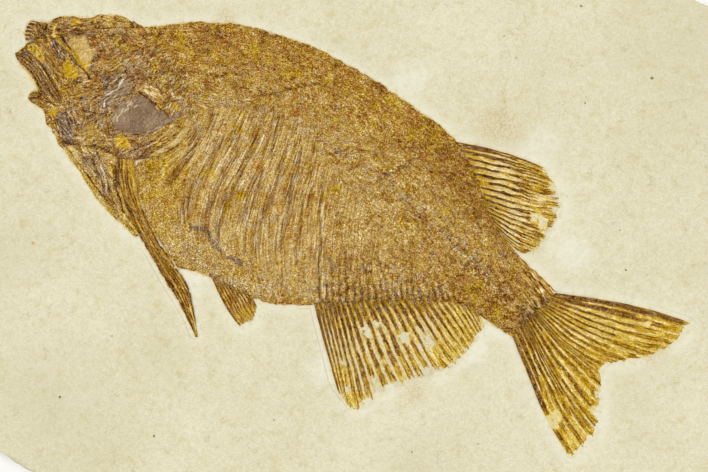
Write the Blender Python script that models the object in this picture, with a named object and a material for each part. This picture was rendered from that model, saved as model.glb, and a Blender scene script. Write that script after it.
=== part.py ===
"""A fossil fish on its limestone slab.

The slab lies flat, with its underside at z = 0. X runs along the slab from the snout side to the
tail side, Y runs up the slab towards the fish's back, and Z points out of the face with the fish.
The origin is the centre of the underside. Sizes are in millimetres, and the mesh is in metres.
"""
import bmesh
import bpy
import numpy as np

MM = 0.001

# Driving dimensions, in millimetres.
SLAB_LENGTH = 384.0
SLAB_WIDTH = 263.0
SLAB_THICKNESS = 15.0
GAP = 0.3                     # clearance between the stone and each bone, and between neighbours
CLEARANCE = 0.35              # how far the skull and the trunk each draw back from the gill slit
MARGIN_HEIGHT = 0.9           # thickness of the bone at the fish's outline
TRUNK_HEIGHT = 2.9            # thickness of the flattened body along its middle
TRUNK_SHOULDER = 7.0          # distance over which the body rises from its outline
BACKBONE_HEIGHT = 0.45        # backbone above the flank
RIB_HEIGHT = 0.50             # rib crests above the hollows between them
SPINE_SHARE = 0.6             # height of the spines over the backbone, as a share of the ribs'
VERTEBRA_SHARE = 0.6          # how much the backbone swells at each vertebra
SKULL_HEIGHT = 2.3
SKULL_RIPPLE = 0.18           # unevenness of the crushed skull bones
BREAST_HEIGHT = 2.1
PLATE_SEAT = 1.5              # height of the skull where the gill cover and the jaw lie on it
PLATE_HEIGHT = 0.9            # thickness of the gill cover and of the lower jaw
FIN_BASE_HEIGHT = 1.5         # fins thin out from here
FIN_TIP_HEIGHT = 0.7          # to here
PECTORAL_BASE_HEIGHT = 1.9    # the folded pectoral fin is thicker at its root
RAY_HEIGHT = 0.50             # fin rays above the webs between them
RAY_REACH = 1.2               # ray tips past the webs at a fin's free edge

BONE_LEVEL = SLAB_THICKNESS + GAP

# The slab's outline, anticlockwise from the bottom left, with two knocked-off corners.
SLAB_OUTLINE = [
    (-187, -105.5), (-157, -121), (-120, -127), (-60, -131), (0, -132.5), (60, -130), (120, -131),
    (165, -129), (183, -122), (190, -95), (193, -50), (191, 0), (192, 50), (190, 95), (186, 112.3),
    (159, 124.1), (120, 130), (60, 132.5), (0, 131), (-60, 132), (-120, 131), (-165, 128),
    (-184, 118), (-191, 90), (-192, 40), (-190, 0), (-193, -50), (-190, -90),
]
# The broken edge in section: each height with how far it stands in from the outline.
SLAB_EDGE = [(0.0, 2.4), (3.5, 1.1), (7.0, 0.5), (10.5, 0.3), (13.8, 0.7), (SLAB_THICKNESS, 2.0)]
SLAB_ROUGHNESS = 0.9
SLAB_COLUMNS = 112

# The body is drawn as lines that run down the fish along its spines and ribs. Each is a pair of
# curves: from the back's outline to the backbone, and on from the backbone to the belly's outline.
GILL_SLIT_UPPER = [(-102, 104.5), (-95.5, 97), (-88.5, 85.5), (-82, 70.5)]
GILL_SLIT_LOWER = [(-82, 70.5), (-80, 62), (-82, 53), (-88, 45.5), (-97, 40.5), (-106, 37.5)]
FIN_CHANNEL = [(-110, 32), (-107.5, 20.5), (-102.5, 8.5), (-97, -2), (-89.5, -15)]
BODY_LINES = [
    (GILL_SLIT_UPPER, GILL_SLIT_LOWER + FIN_CHANNEL),
    ([(-74.5, 107), (-69.5, 88), (-66, 68)],
     [(-66, 68), (-74, 48), (-84.5, 30.5), (-88.5, 13), (-85.5, -2), (-77, -18.5)]),
    ([(-49.5, 104), (-46, 83), (-44.5, 62)],
     [(-44.5, 62), (-52, 43), (-63, 20.5), (-67, -2), (-57, -28.5)]),
    ([(-22, 95), (-21, 75.5), (-24, 54)],
     [(-24, 54), (-27, 38), (-33, 18), (-37, -7), (-35.5, -34)]),
    ([(3, 82), (2, 63), (-3, 39)],
     [(-3, 39), (-7, 23), (-10, 5.5), (-11.5, -14.5), (-12, -33.5)]),
    ([(28, 66), (25.5, 45.5), (19.5, 23)],
     [(19.5, 23), (15, 5.5), (11, -14.5), (10, -32.5)]),
    ([(51.5, 47), (49, 29), (41, 5.5)],
     [(41, 5.5), (36, -9.5), (33, -22), (34, -32)]),
    ([(64, 23), (62, 5.5), (58, -11)],
     [(58, -11), (54, -22), (53.5, -34)]),
    ([(74, 0), (73, -11), (69, -23.5)],
     [(69, -23.5), (66.5, -33), (66, -42)]),
    ([(101, -28.5), (96.5, -32), (90.5, -37.5)],
     [(90.5, -37.5), (85, -43.5), (79.5, -51)]),
]
BODY_COLUMNS = 64
BODY_ROWS_UPPER = 8
BODY_ROWS_LOWER = 13

# The skull's outline: roof, snout with the open mouth, throat, and the gill slit behind.
SKULL_ROOF = [
    (-154, 105), (-150, 108.5), (-144.5, 109.5), (-134.5, 109), (-124.5, 110.5), (-117, 110),
    (-111, 107), (-107, 105), (-102, 104.5),
]
SKULL_FRONT = [
    (-154, 105), (-155.5, 102), (-157, 99), (-160, 97.5), (-163.5, 96), (-167, 93), (-169.5, 90),
    (-165, 84), (-160.5, 78), (-158.5, 73.5), (-162, 71.5), (-163, 69), (-160, 66),
    (-155.5, 63.5), (-154, 58), (-150.5, 52.5), (-146, 44),
]
THROAT = [
    (-146, 44), (-134.5, 43.5), (-125, 41.5), (-118, 38), (-107, 38.3), (-97, 40.5),
]
SKULL_BACK = GILL_SLIT_UPPER + GILL_SLIT_LOWER[1:-1]
SKULL_COLUMNS = 26
SKULL_ROWS = 24
SKULL_SHOULDER = 5.0
EYE_CENTRE = (-137, 89)
EYE_RADIUS = 8.0
EYE_DEPTH = 0.9

# Plates that lie on the skull: the gill cover's outline, and the jaw's upper and lower edges.
GILL_COVER_UPPER = [(-120.5, 58), (-117, 66), (-111, 69.3), (-104.5, 68.8), (-99.5, 65), (-92.5, 60)]
GILL_COVER_LOWER = [(-120.5, 57), (-117, 51.8), (-110, 50.2), (-103, 52), (-97, 55), (-92.5, 59)]
JAW_UPPER = [(-168, 90), (-163, 91), (-157, 86.5), (-151, 78), (-146, 69), (-146, 65)]
JAW_LOWER = [(-167.6, 89), (-163.4, 84), (-159.2, 78.2), (-156.5, 73.8), (-152, 68), (-147, 64)]
JAW_LINES = 5
GILL_COVER_RIM = 3.0          # width of the gill cover's bevelled rim
GILL_COVER_RIM_SHARE = 0.45   # its thickness at the rim, as a share of the full thickness
PLATE_CLEARANCE = 5.0         # how far round a plate the skull stays at the seat's height
SEAT_SLOPE = 0.25             # how fast the skull rises away from there

# The upper jaw's front bone, with its row of teeth pointing forward.
TOOTH_ROOTS = [(-153.6, 106.3), (-155, 103), (-156.3, 100.4), (-158.6, 98.9)]
TOOTH_TIPS = [(-162, 107.5), (-164, 104.5), (-164.8, 101.5), (-164.5, 98.5)]
TOOTH_COUNT = 5
TOOTH_HEIGHT = 0.5            # teeth above the bone between them
TOOTH_SHORTFALL = 0.42        # share of the reach left open between two teeth

# The breast between the throat, the belly's outline and the pectoral fin.
BREAST_FRONT = [
    (-145, 43), (-141, 37.5), (-135.5, 31), (-131, 23), (-125.5, 15.5), (-119, 9), (-112, 2.5),
    (-108.5, -0.5),
]
BREAST_BACK = [
    (-144, 43.3), (-134.5, 42.7), (-125, 40.7), (-118.7, 37), (-118.5, 29), (-116.5, 19),
    (-112.5, 8), (-108, 0),
]
PECTORAL_FRONT = [
    (-117.6, 37.2), (-115.5, 19.5), (-111.5, 8.5), (-106.5, -1), (-101, -10.5), (-94.5, -22),
    (-88, -32.5), (-83, -41), (-80, -49),
]
PECTORAL_BACK = [
    (-110.9, 37.3), (-108.9, 19.5), (-103.9, 8.5), (-98.3, -2), (-92.5, -11), (-87, -19),
    (-83.5, -27), (-81, -38), (-79.5, -49),
]
PECTORAL_RAYS = 4
FRONT_COLUMNS = 20            # steps along the breast and the pectoral fin

# Fins on the body's outline. Each is drawn as a few of its rays, from the base to the free edge,
# and the rays between them follow.
DORSAL_LINES = [
    [(51.5, 47), (67, 44), (82, 39.5), (96, 34)],
    [(56, 38), (71, 35), (86, 31), (101, 26)],
    [(63, 27), (77, 24), (91, 19.5), (104, 18)],
    [(66.5, 18), (79, 14), (91, 11.5), (103, 9.5)],
    [(69, 11.5), (79, 6.5), (88, 2.5), (97.5, -0.5)],
    [(72, 4.5), (78, -0.5), (85, -4.5), (92, -6.5)],
    [(77, -3.5), (80, -6), (83, -8), (85.5, -9)],
]
DORSAL_RAYS = 19
ANAL_LINES = [
    [(-20, -34), (-16.5, -48), (-13, -61), (-10, -74)],
    [(-12, -33.5), (-8, -49), (-3, -67), (2, -87)],
    [(-3.5, -33), (1.5, -48), (7.5, -64), (13.5, -80)],
    [(9, -33), (15, -45), (21.5, -58.5), (28.5, -74)],
    [(23, -32.5), (30, -44), (37, -56), (45, -69)],
    [(38, -33), (44, -42), (50, -51), (56.5, -59.5)],
    [(50.5, -34), (54.5, -39.5), (58, -45), (61.5, -51)],
    [(63.5, -41), (64.2, -42.7), (64.8, -44.2), (65.5, -45.5)],
]
ANAL_RAYS = 26
PELVIC_LINES = [
    [(-72.5, -18), (-67, -30.5), (-62, -39), (-56.5, -46.5)],
    [(-66, -22.5), (-61, -32), (-57, -39), (-52.5, -44)],
    [(-59, -26), (-55.5, -32), (-52.5, -37.5), (-50, -41.5)],
    [(-52, -29.5), (-50.5, -31.5), (-49.5, -33.5), (-48.5, -35.5)],
]
PELVIC_RAYS = 7
TAIL_LINES = [
    [(101, -28.5), (125.5, -32), (147, -36.5), (169, -43.5)],
    [(97, -32.5), (120, -41.3), (142, -47.8), (163.5, -52.5)],
    [(94, -35.5), (111, -46.5), (129, -55.3), (146, -61.5)],
    [(91.5, -38.3), (103, -50.2), (115, -59), (126.5, -65)],
    [(90, -39.5), (101, -52.5), (113, -64), (124.5, -74.5)],
    [(86.5, -42.8), (98, -63.5), (110, -81.5), (122.5, -97)],
    [(84.5, -44.8), (95, -66.3), (106, -87.5), (117.5, -104.5)],
    [(79.5, -51), (88, -72), (96, -91), (108.5, -112)],
]
TAIL_RAYS = 20


def clear_scene():
    for old in list(bpy.data.objects):
        bpy.data.objects.remove(old, do_unlink=True)


def make_material(name, colour, roughness):
    material = bpy.data.materials.new(name)
    material.use_nodes = True
    shader = material.node_tree.nodes["Principled BSDF"]
    shader.inputs["Base Color"].default_value = (*colour, 1.0)
    shader.inputs["Roughness"].default_value = roughness
    shader.inputs["Metallic"].default_value = 0.0
    return material


def spline(points, where):
    """The smooth curve through points, read at each value in where: 0 is the first point."""
    points = np.asarray(points, float)
    padded = np.concatenate([[2 * points[0] - points[1]], points, [2 * points[-1] - points[-2]]])
    where = np.clip(np.asarray(where, float), 0, len(points) - 1.000001)
    first = where.astype(int)
    step = (where - first).reshape((-1,) + (1,) * (points.ndim - 1))
    a, b, c, d = (padded[first + k] for k in range(4))
    return 0.5 * (2 * b + (c - a) * step + (2 * a - 5 * b + 4 * c - d) * step ** 2
                  + (3 * b - a - 3 * c + d) * step ** 3)


def spread(points, count):
    """count points at even distances along the smooth curve through points."""
    fine = spline(points, np.linspace(0, len(points) - 1, 40 * len(points)))
    length = np.concatenate([[0], np.cumsum(np.linalg.norm(np.diff(fine, axis=0), axis=1))])
    steps = np.linspace(0, length[-1], count)
    return np.column_stack([np.interp(steps, length, fine[:, k]) for k in (0, 1)])


def between(first, second, rows):
    """A grid of rows from one curve to another with as many points."""
    share = np.linspace(0, 1, rows)[None, :, None]
    return first[:, None] * (1 - share) + second[:, None] * share


def filled_frame(top, bottom, left, right):
    """A grid that fills four curves: top and bottom run left to right, the others run down."""
    u = np.linspace(0, 1, len(top))[:, None, None]
    v = np.linspace(0, 1, len(left))[None, :, None]
    across = top[:, None] * (1 - v) + bottom[:, None] * v
    down = left[None] * (1 - u) + right[None] * u
    corners = (top[0] * (1 - u) * (1 - v) + top[-1] * u * (1 - v)
               + bottom[0] * (1 - u) * v + bottom[-1] * u * v)
    return across + down - corners


def rim_places(columns, rows):
    """Grid places of the rim, once round."""
    down = [(0, row) for row in range(rows - 1)]
    along = [(column, rows - 1) for column in range(columns - 1)]
    up = [(columns - 1, row) for row in range(rows - 1, 0, -1)]
    back = [(column, 0) for column in range(columns - 1, 0, -1)]
    return down + along + up + back


def drawn_in(plan, distance):
    """The grid with its rim moved inwards by a distance, which leaves room for a neighbour."""
    places = rim_places(*plan.shape[:2])
    rim = np.array([plan[place] for place in places])
    after = np.roll(rim, -1, axis=0)
    area = np.sum(rim[:, 0] * after[:, 1] - after[:, 0] * rim[:, 1])
    run = after - np.roll(rim, 1, axis=0)
    inward = np.column_stack([-run[:, 1], run[:, 0]]) * np.sign(area)
    inward = inward / np.linalg.norm(inward, axis=1)[:, None]
    result = plan.copy()
    for place, move in zip(places, inward):
        result[place] += move * distance
    return result


def rim_distance(plan):
    """Each grid point's distance from the rim."""
    rim = np.array([plan[place] for place in rim_places(*plan.shape[:2])])
    gaps = np.linalg.norm(plan[:, :, None] - rim[None, None], axis=3)
    return gaps.min(axis=2)


def outside_distance(points, outline):
    """Each point's distance outside a closed outline, and 0 inside it."""
    start = np.asarray(outline, float)
    run = np.roll(start, -1, axis=0) - start
    to_point = points[..., None, :] - start
    share = np.clip((to_point * run).sum(-1) / (run ** 2).sum(-1), 0, 1)
    nearest = np.linalg.norm(to_point - share[..., None] * run, axis=-1).min(axis=-1)
    x, y = points[..., 0, None], points[..., 1, None]
    end_y = start[:, 1] + run[:, 1]
    crosses = (start[:, 1] > y) != (end_y > y)
    safe_rise = np.where(run[:, 1] == 0, 1, run[:, 1])
    cross_x = start[:, 0] + run[:, 0] * (y - start[:, 1]) / safe_rise
    inside = ((crosses & (x < cross_x)).sum(axis=-1) % 2) == 1
    return np.where(inside, 0.0, nearest)


def bone(name, plan, top, bottom, material):
    """A closed body: a grid in plan with its top heights, straight sides and a flat underside."""
    columns, rows = top.shape
    mesh = bmesh.new()
    upper = [[mesh.verts.new((*plan[i, j] * MM, top[i, j] * MM)) for j in range(rows)]
             for i in range(columns)]
    for i in range(columns - 1):
        for j in range(rows - 1):
            mesh.faces.new((upper[i][j], upper[i + 1][j], upper[i + 1][j + 1], upper[i][j + 1]))
    rim = [upper[i][j] for i, j in rim_places(columns, rows)]
    foot = [mesh.verts.new((vert.co.x, vert.co.y, bottom * MM)) for vert in rim]
    for k, vert in enumerate(rim):
        following = (k + 1) % len(rim)
        mesh.faces.new((vert, foot[k], foot[following], rim[following]))
    mesh.faces.new(foot)
    return finish_mesh(name, mesh, material)


def finish_mesh(name, mesh, material):
    bmesh.ops.recalc_face_normals(mesh, faces=mesh.faces)
    data = bpy.data.meshes.new(name)
    mesh.to_mesh(data)
    mesh.free()
    data.materials.append(material)
    data.set_sharp_from_angle(angle=np.radians(40))
    made = bpy.data.objects.new(name, data)
    bpy.context.collection.objects.link(made)
    return made


def make_slab(material):
    """Split limestone: a flat face and underside, and a broken edge that undercuts a little."""
    chance = np.random.default_rng(7)
    outline = spread(SLAB_OUTLINE + SLAB_OUTLINE[:1], SLAB_COLUMNS + 1)[:-1]
    run = np.roll(outline, -1, axis=0) - np.roll(outline, 1, axis=0)
    inward = np.column_stack([-run[:, 1], run[:, 0]]) / np.linalg.norm(run, axis=1)[:, None]
    chips = chance.random(SLAB_COLUMNS) * SLAB_ROUGHNESS
    levels = []
    for height, inset in SLAB_EDGE:
        depth = inset + chips + chance.random(SLAB_COLUMNS) * SLAB_ROUGHNESS
        levels.append(outline + inward * depth[:, None])
    reach = np.concatenate(levels)
    middle = (reach.max(axis=0) + reach.min(axis=0)) / 2
    fit = np.array([SLAB_LENGTH, SLAB_WIDTH]) / (reach.max(axis=0) - reach.min(axis=0))
    mesh = bmesh.new()
    rings = []
    for (height, _), level in zip(SLAB_EDGE, levels):
        placed = (level - middle) * fit * MM
        rings.append([mesh.verts.new((x, y, height * MM)) for x, y in placed])
    for low, high in zip(rings, rings[1:]):
        for k in range(SLAB_COLUMNS):
            following = (k + 1) % SLAB_COLUMNS
            mesh.faces.new((low[k], low[following], high[following], high[k]))
    mesh.faces.new(rings[0])
    mesh.faces.new(rings[-1])
    return finish_mesh("slab", mesh, material)


def body_grid():
    """The body in plan: columns along the fish, rows from the back's outline to the belly's."""
    lines = []
    for upper, lower in BODY_LINES:
        down = spread(upper, BODY_ROWS_UPPER)
        onward = spread(lower, BODY_ROWS_LOWER + 1)[1:]
        lines.append(np.concatenate([down, onward]))
    return spline(np.array(lines), np.linspace(0, len(lines) - 1, BODY_COLUMNS))


def body_outline(side):
    """The outline of the back, belly or tail root, in the order that keeps the fish on its right."""
    if side == "tail":
        upper, lower = BODY_LINES[-1]
        return spread(upper + lower[1:], 80)
    ends = [upper[0] if side == "back" else lower[-1] for upper, lower in BODY_LINES]
    curve = spread(ends, 200)
    return curve if side == "back" else curve[::-1]


def held_off(points, edge, distance, snap=False):
    """Points on an edge's right side, or too near it, moved to a distance on its left side.

    With snap, every point is moved to just that distance.
    """
    run = np.gradient(edge, axis=0)
    left = np.column_stack([-run[:, 1], run[:, 0]]) / np.linalg.norm(run, axis=1)[:, None]
    nearest = np.linalg.norm(points[..., None, :] - edge, axis=-1).argmin(axis=-1)
    off = ((points - edge[nearest]) * left[nearest]).sum(axis=-1)
    moved = edge[nearest] + left[nearest] * distance
    needs_move = np.full(off.shape, True) if snap else off < distance
    return np.where(needs_move[..., None], moved, points)


def make_trunk(material):
    """The flattened body: scaled flank, backbone, ribs, and the spines over and under them."""
    plan = drawn_in(body_grid(), CLEARANCE)
    shoulder = 1 - np.exp(-rim_distance(plan) / TRUNK_SHOULDER)
    top = MARGIN_HEIGHT + (TRUNK_HEIGHT - MARGIN_HEIGHT) * shoulder
    row = np.arange(plan.shape[1])
    backbone_row = BODY_ROWS_UPPER - 1
    alternate = np.where(np.arange(BODY_COLUMNS) % 2 == 1, 0.5, -0.5)[:, None]
    on_ribs = np.clip((row - backbone_row) / 2, 0, 1) * np.clip((row[-1] - row) / 3, 0, 1)
    on_spines = np.clip((backbone_row - row) / 2, 0, 1) * np.clip(row / 2, 0, 1) * SPINE_SHARE
    on_backbone = np.clip(1 - np.abs(row - backbone_row) / 1.5, 0, 1)
    top += alternate * RIB_HEIGHT * (on_ribs + on_spines)[None]
    top += on_backbone[None] * BACKBONE_HEIGHT * (1 + VERTEBRA_SHARE * alternate) * shoulder
    return bone("trunk", plan, BONE_LEVEL + top, BONE_LEVEL, material)


def make_skull(material):
    """The crushed skull: roof, snout, cheek and the hollow of the eye, with seats for two plates."""
    roof = spread(SKULL_ROOF, SKULL_COLUMNS)
    throat = spread(THROAT, SKULL_COLUMNS)
    front = spread(SKULL_FRONT, SKULL_ROWS)
    back = spread(SKULL_BACK, SKULL_ROWS)
    plan = drawn_in(filled_frame(roof, throat, front, back), CLEARANCE)
    rise = 1 - np.exp(-rim_distance(plan) / SKULL_SHOULDER)
    top = MARGIN_HEIGHT + (SKULL_HEIGHT - MARGIN_HEIGHT) * rise
    from_eye = np.linalg.norm(plan - np.array(EYE_CENTRE), axis=2) / EYE_RADIUS
    top -= EYE_DEPTH * np.exp(-from_eye ** 4) * rise
    ripple = np.sin(plan[:, :, 0] * 0.9 + 2.2 * np.sin(plan[:, :, 1] * 0.35))
    top += SKULL_RIPPLE * ripple * rise
    for upper, lower in ((GILL_COVER_UPPER, GILL_COVER_LOWER), (JAW_UPPER, JAW_LOWER)):
        outside = outside_distance(plan, upper + lower[::-1])
        seat = PLATE_SEAT + SEAT_SLOPE * np.clip(outside - PLATE_CLEARANCE, 0, None)
        top = np.minimum(top, seat)
    return bone("skull", plan, BONE_LEVEL + top, BONE_LEVEL, material)


def plate_grid(upper, lower, columns, rows):
    """A grid in plan between the two long edges of a plate."""
    return between(spread(upper, columns), spread(lower, columns), rows)


def make_gill_cover(material):
    """The smooth plate over the gills, which lies on the skull."""
    plan = plate_grid(GILL_COVER_UPPER, GILL_COVER_LOWER, 12, 7)
    rise = np.clip(rim_distance(plan) / GILL_COVER_RIM, 0, 1)
    level = BONE_LEVEL + PLATE_SEAT + GAP
    share = GILL_COVER_RIM_SHARE + (1 - GILL_COVER_RIM_SHARE) * rise
    return bone("gill_cover", plan, level + PLATE_HEIGHT * share, level, material)


def make_lower_jaw(material):
    """The lower jaw, a bundle of long bones that lies on the skull, with a groove between each."""
    crest = 0.5 + 0.5 * ray_crests(JAW_LINES)
    plan = plate_grid(JAW_UPPER, JAW_LOWER, 14, len(crest))
    level = BONE_LEVEL + PLATE_SEAT + GAP
    top = level + PLATE_HEIGHT * crest[None] * np.ones((14, 1))
    return bone("lower_jaw", plan, top, level, material)


def ray_crests(rays):
    """1 on each ray and 0 on the web between two rays, with a web outside the last ray."""
    return np.where(np.arange(2 * rays + 1) % 2 == 1, 1.0, 0.0)


def fin(name, lines, side, rays, rows, material, reach=RAY_REACH):
    """A fin that spreads from the body, with a ridge for each ray and the ray tips standing out."""
    crest = ray_crests(rays)
    guides = np.array([spread(line, rows) for line in lines])
    plan = spline(guides, np.linspace(0, len(lines) - 1, len(crest)))
    last_step = plan[:, -1] - plan[:, -2]
    last_length = np.linalg.norm(last_step, axis=1)[:, None]
    shortened = np.minimum(reach, 0.6 * last_length) * (1 - crest)[:, None]
    plan[:, -1] -= last_step / last_length * shortened
    edge = body_outline(side)
    plan[:, 0] = held_off(plan[:, 0], edge, GAP, snap=True)
    plan[:, 1:] = held_off(plan[:, 1:], edge, 2 * GAP)
    share = np.linspace(0, 1, rows)[None]
    top = FIN_BASE_HEIGHT + (FIN_TIP_HEIGHT - FIN_BASE_HEIGHT) * share
    top = top + RAY_HEIGHT * (crest[:, None] - 0.5) * (1 - 0.4 * share)
    return bone(name, plan, BONE_LEVEL + top, BONE_LEVEL, material)


def make_pectoral_fin(material):
    """The long front fin, folded along the body with its rays side by side."""
    crest = ray_crests(PECTORAL_RAYS)[None]
    plan = plate_grid(PECTORAL_FRONT, PECTORAL_BACK, FRONT_COLUMNS, crest.size)
    share = np.linspace(0, 1, FRONT_COLUMNS)[:, None]
    top = PECTORAL_BASE_HEIGHT + (FIN_TIP_HEIGHT - PECTORAL_BASE_HEIGHT) * share
    top = top + RAY_HEIGHT * crest * (1 - 0.6 * share)
    return bone("pectoral_fin", plan, BONE_LEVEL + top, BONE_LEVEL, material)


def make_breast(material):
    """The shoulder bones under the throat, in front of the pectoral fin."""
    plan = plate_grid(BREAST_FRONT, BREAST_BACK, FRONT_COLUMNS, 7)
    rise = 1 - np.exp(-rim_distance(plan) / SKULL_SHOULDER)
    top = MARGIN_HEIGHT + (BREAST_HEIGHT - MARGIN_HEIGHT) * rise
    return bone("shoulder_girdle", plan, BONE_LEVEL + top, BONE_LEVEL, material)


def make_upper_jaw(material):
    """The bone at the tip of the snout, with its teeth side by side."""
    count = 2 * TOOTH_COUNT + 1
    roots = spread(TOOTH_ROOTS, count) - np.array([GAP, 0])
    tips = spread(TOOTH_TIPS, count)
    crest = ray_crests(TOOTH_COUNT)[:, None]
    tips = tips + (roots - tips) * TOOTH_SHORTFALL * (1 - crest)
    plan = between(roots, tips, 5)
    top = MARGIN_HEIGHT + TOOTH_HEIGHT * crest * np.ones((1, 5))
    return bone("upper_jaw", plan, BONE_LEVEL + top, BONE_LEVEL, material)


def main():
    clear_scene()
    limestone = make_material("limestone", (0.76, 0.72, 0.50), 0.85)
    flank = make_material("scaled_bone", (0.41, 0.26, 0.07), 0.60)
    head_bone = make_material("head_bone", (0.35, 0.21, 0.06), 0.55)
    plate = make_material("plate_bone", (0.31, 0.22, 0.11), 0.45)
    jaw = make_material("jaw_bone", (0.24, 0.13, 0.04), 0.50)
    ray_bone = make_material("ray_bone", (0.30, 0.18, 0.05), 0.55)
    make_slab(limestone)
    make_skull(head_bone)
    make_upper_jaw(jaw)
    make_lower_jaw(jaw)
    make_gill_cover(plate)
    make_breast(head_bone)
    make_trunk(flank)
    make_pectoral_fin(ray_bone)
    fin("pelvic_fin", PELVIC_LINES, "belly", PELVIC_RAYS, 4, ray_bone, reach=0.6)
    fin("dorsal_fin", DORSAL_LINES, "back", DORSAL_RAYS, 5, ray_bone)
    fin("anal_fin", ANAL_LINES, "belly", ANAL_RAYS, 5, ray_bone)
    fin("tail_fin", TAIL_LINES, "tail", TAIL_RAYS, 7, ray_bone)


main()
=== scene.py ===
"""A fossil fish pressed flat in a slab of limestone, dressed over its CAD frame.

The slab lies face up. X runs from the snout to the tail, Y towards the fish's back, and Z out of
the stone, with the origin at the centre of the underside. Plans and heights are in millimetres,
and every mesh is in metres.
"""

import bpy
import numpy as np
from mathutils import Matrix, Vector
from mathutils.bvhtree import BVHTree
from mathutils.kdtree import KDTree


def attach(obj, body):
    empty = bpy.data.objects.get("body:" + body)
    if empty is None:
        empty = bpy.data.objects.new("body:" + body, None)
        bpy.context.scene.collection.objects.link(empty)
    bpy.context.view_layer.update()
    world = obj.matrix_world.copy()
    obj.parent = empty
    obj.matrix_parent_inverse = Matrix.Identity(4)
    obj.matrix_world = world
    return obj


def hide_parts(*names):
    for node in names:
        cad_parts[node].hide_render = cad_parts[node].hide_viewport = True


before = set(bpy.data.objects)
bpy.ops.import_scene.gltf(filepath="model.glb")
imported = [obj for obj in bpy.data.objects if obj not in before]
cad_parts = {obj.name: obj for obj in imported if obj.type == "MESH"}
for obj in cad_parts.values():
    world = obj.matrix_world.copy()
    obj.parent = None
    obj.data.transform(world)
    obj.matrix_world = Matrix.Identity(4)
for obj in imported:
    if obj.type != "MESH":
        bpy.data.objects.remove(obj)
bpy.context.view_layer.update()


# ---- The slab -------------------------------------------------------------------------------
# A split sheet of fine lake limestone, 15 mm thick, with broken edges that show its thin beds.
# The face was scraped and brushed down to the fish, which left it pale, a little uneven and
# stained yellow where it touches bone.

MM = 0.001
FACE = 15.0                    # height of the stone's face
BULGE = 10.5                   # height at which the broken edge stands out furthest
SLAB_COLUMNS = 300
SLAB_ROWS = 206
EDGE_LEVELS = [14.2, 13.1, 11.6, 9.8, 8.0, 6.1, 4.2, 2.2, 0.7, 0.0]
EDGE_HEIGHTS = [0.0, 3.5, 7.0, 10.5, 13.8, 15.0]
EDGE_INSETS = [2.2, 0.9, 0.3, 0.0, 0.5, 1.5]
BED_THICKNESS = 1.1            # of the thin beds that show in the broken edge
BED_STEP = 0.55                # how far one bed stands out past the next
FACE_SWELL = 0.16              # slow rise and fall of the split face
PREPARED_DEPTH = 0.42          # how far the stone was scraped down beside the fish
PREPARED_REACH = 7.0           # and how far out the scraping reaches


def spline(points, where):
    """The smooth curve through points, read at each value in where: 0 is the first point."""
    points = np.asarray(points, float)
    padded = np.concatenate([[2 * points[0] - points[1]], points, [2 * points[-1] - points[-2]]])
    where = np.clip(np.asarray(where, float), 0, len(points) - 1.000001)
    first = where.astype(int)
    step = (where - first).reshape((-1,) + (1,) * (points.ndim - 1))
    a, b, c, d = (padded[first + k] for k in range(4))
    return 0.5 * (2 * b + (c - a) * step + (2 * a - 5 * b + 4 * c - d) * step ** 2
                  + (3 * b - a - 3 * c + d) * step ** 3)


def spread(points, count):
    """count points at even distances along the smooth curve through points."""
    fine = spline(points, np.linspace(0, len(points) - 1, 40 * len(points)))
    length = np.concatenate([[0], np.cumsum(np.linalg.norm(np.diff(fine, axis=0), axis=1))])
    steps = np.linspace(0, length[-1], count)
    return np.column_stack([np.interp(steps, length, fine[:, k]) for k in (0, 1)])


def filled_frame(near, far, left, right):
    """A grid that fills four curves: near and far run left to right, the others from near to far."""
    u = np.linspace(0, 1, len(near))[:, None, None]
    v = np.linspace(0, 1, len(left))[None, :, None]
    across = near[:, None] * (1 - v) + far[:, None] * v
    along = left[None] * (1 - u) + right[None] * u
    corners = (near[0] * (1 - u) * (1 - v) + near[-1] * u * (1 - v)
               + far[0] * (1 - u) * v + far[-1] * u * v)
    return across + along - corners


def soft(value, low=0.0, high=1.0):
    """0 up to low and 1 from high, with a smooth rise between them."""
    share = np.clip((value - low) / (high - low), 0, 1)
    return share * share * (3 - 2 * share)


def cloud(plan, size, seed, layers=3):
    """Soft noise from about -1 to 1. Its largest blotches are about size across."""
    total = np.zeros(plan.shape[:-1])
    for layer in range(layers):
        chance = np.random.default_rng(100 * seed + layer)
        lattice = chance.uniform(-1, 1, (256, 256))
        place = plan * (2 ** layer / size) + chance.uniform(0, 200, 2)
        cell = np.floor(place).astype(int)
        step = place - cell
        step = step * step * (3 - 2 * step)
        x, y = cell[..., 0] % 256, cell[..., 1] % 256
        after_x, after_y = (x + 1) % 256, (y + 1) % 256
        low = lattice[x, y] * (1 - step[..., 0]) + lattice[after_x, y] * step[..., 0]
        high = lattice[x, after_y] * (1 - step[..., 0]) + lattice[after_x, after_y] * step[..., 0]
        total += (low * (1 - step[..., 1]) + high * step[..., 1]) * 1.5 / 2 ** layer
    return total / (2 - 0.5 ** (layers - 1))


def ragged(plan, amount=1.0):
    """The plan with its lines made uneven. Neighbours that share a line still share it."""
    slow = np.stack([cloud(plan, 5.0, 31, 2), cloud(plan, 5.0, 32, 2)], axis=-1)
    quick = np.stack([cloud(plan, 1.7, 33, 1), cloud(plan, 1.7, 34, 1)], axis=-1)
    return plan + amount * (0.55 * slow + 0.28 * quick)


def rim_of(grid):
    """The values of a grid round its rim, once round."""
    return np.concatenate([grid[0, :-1], grid[:-1, -1], grid[-1, :0:-1], grid[:0:-1, 0]])


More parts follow.
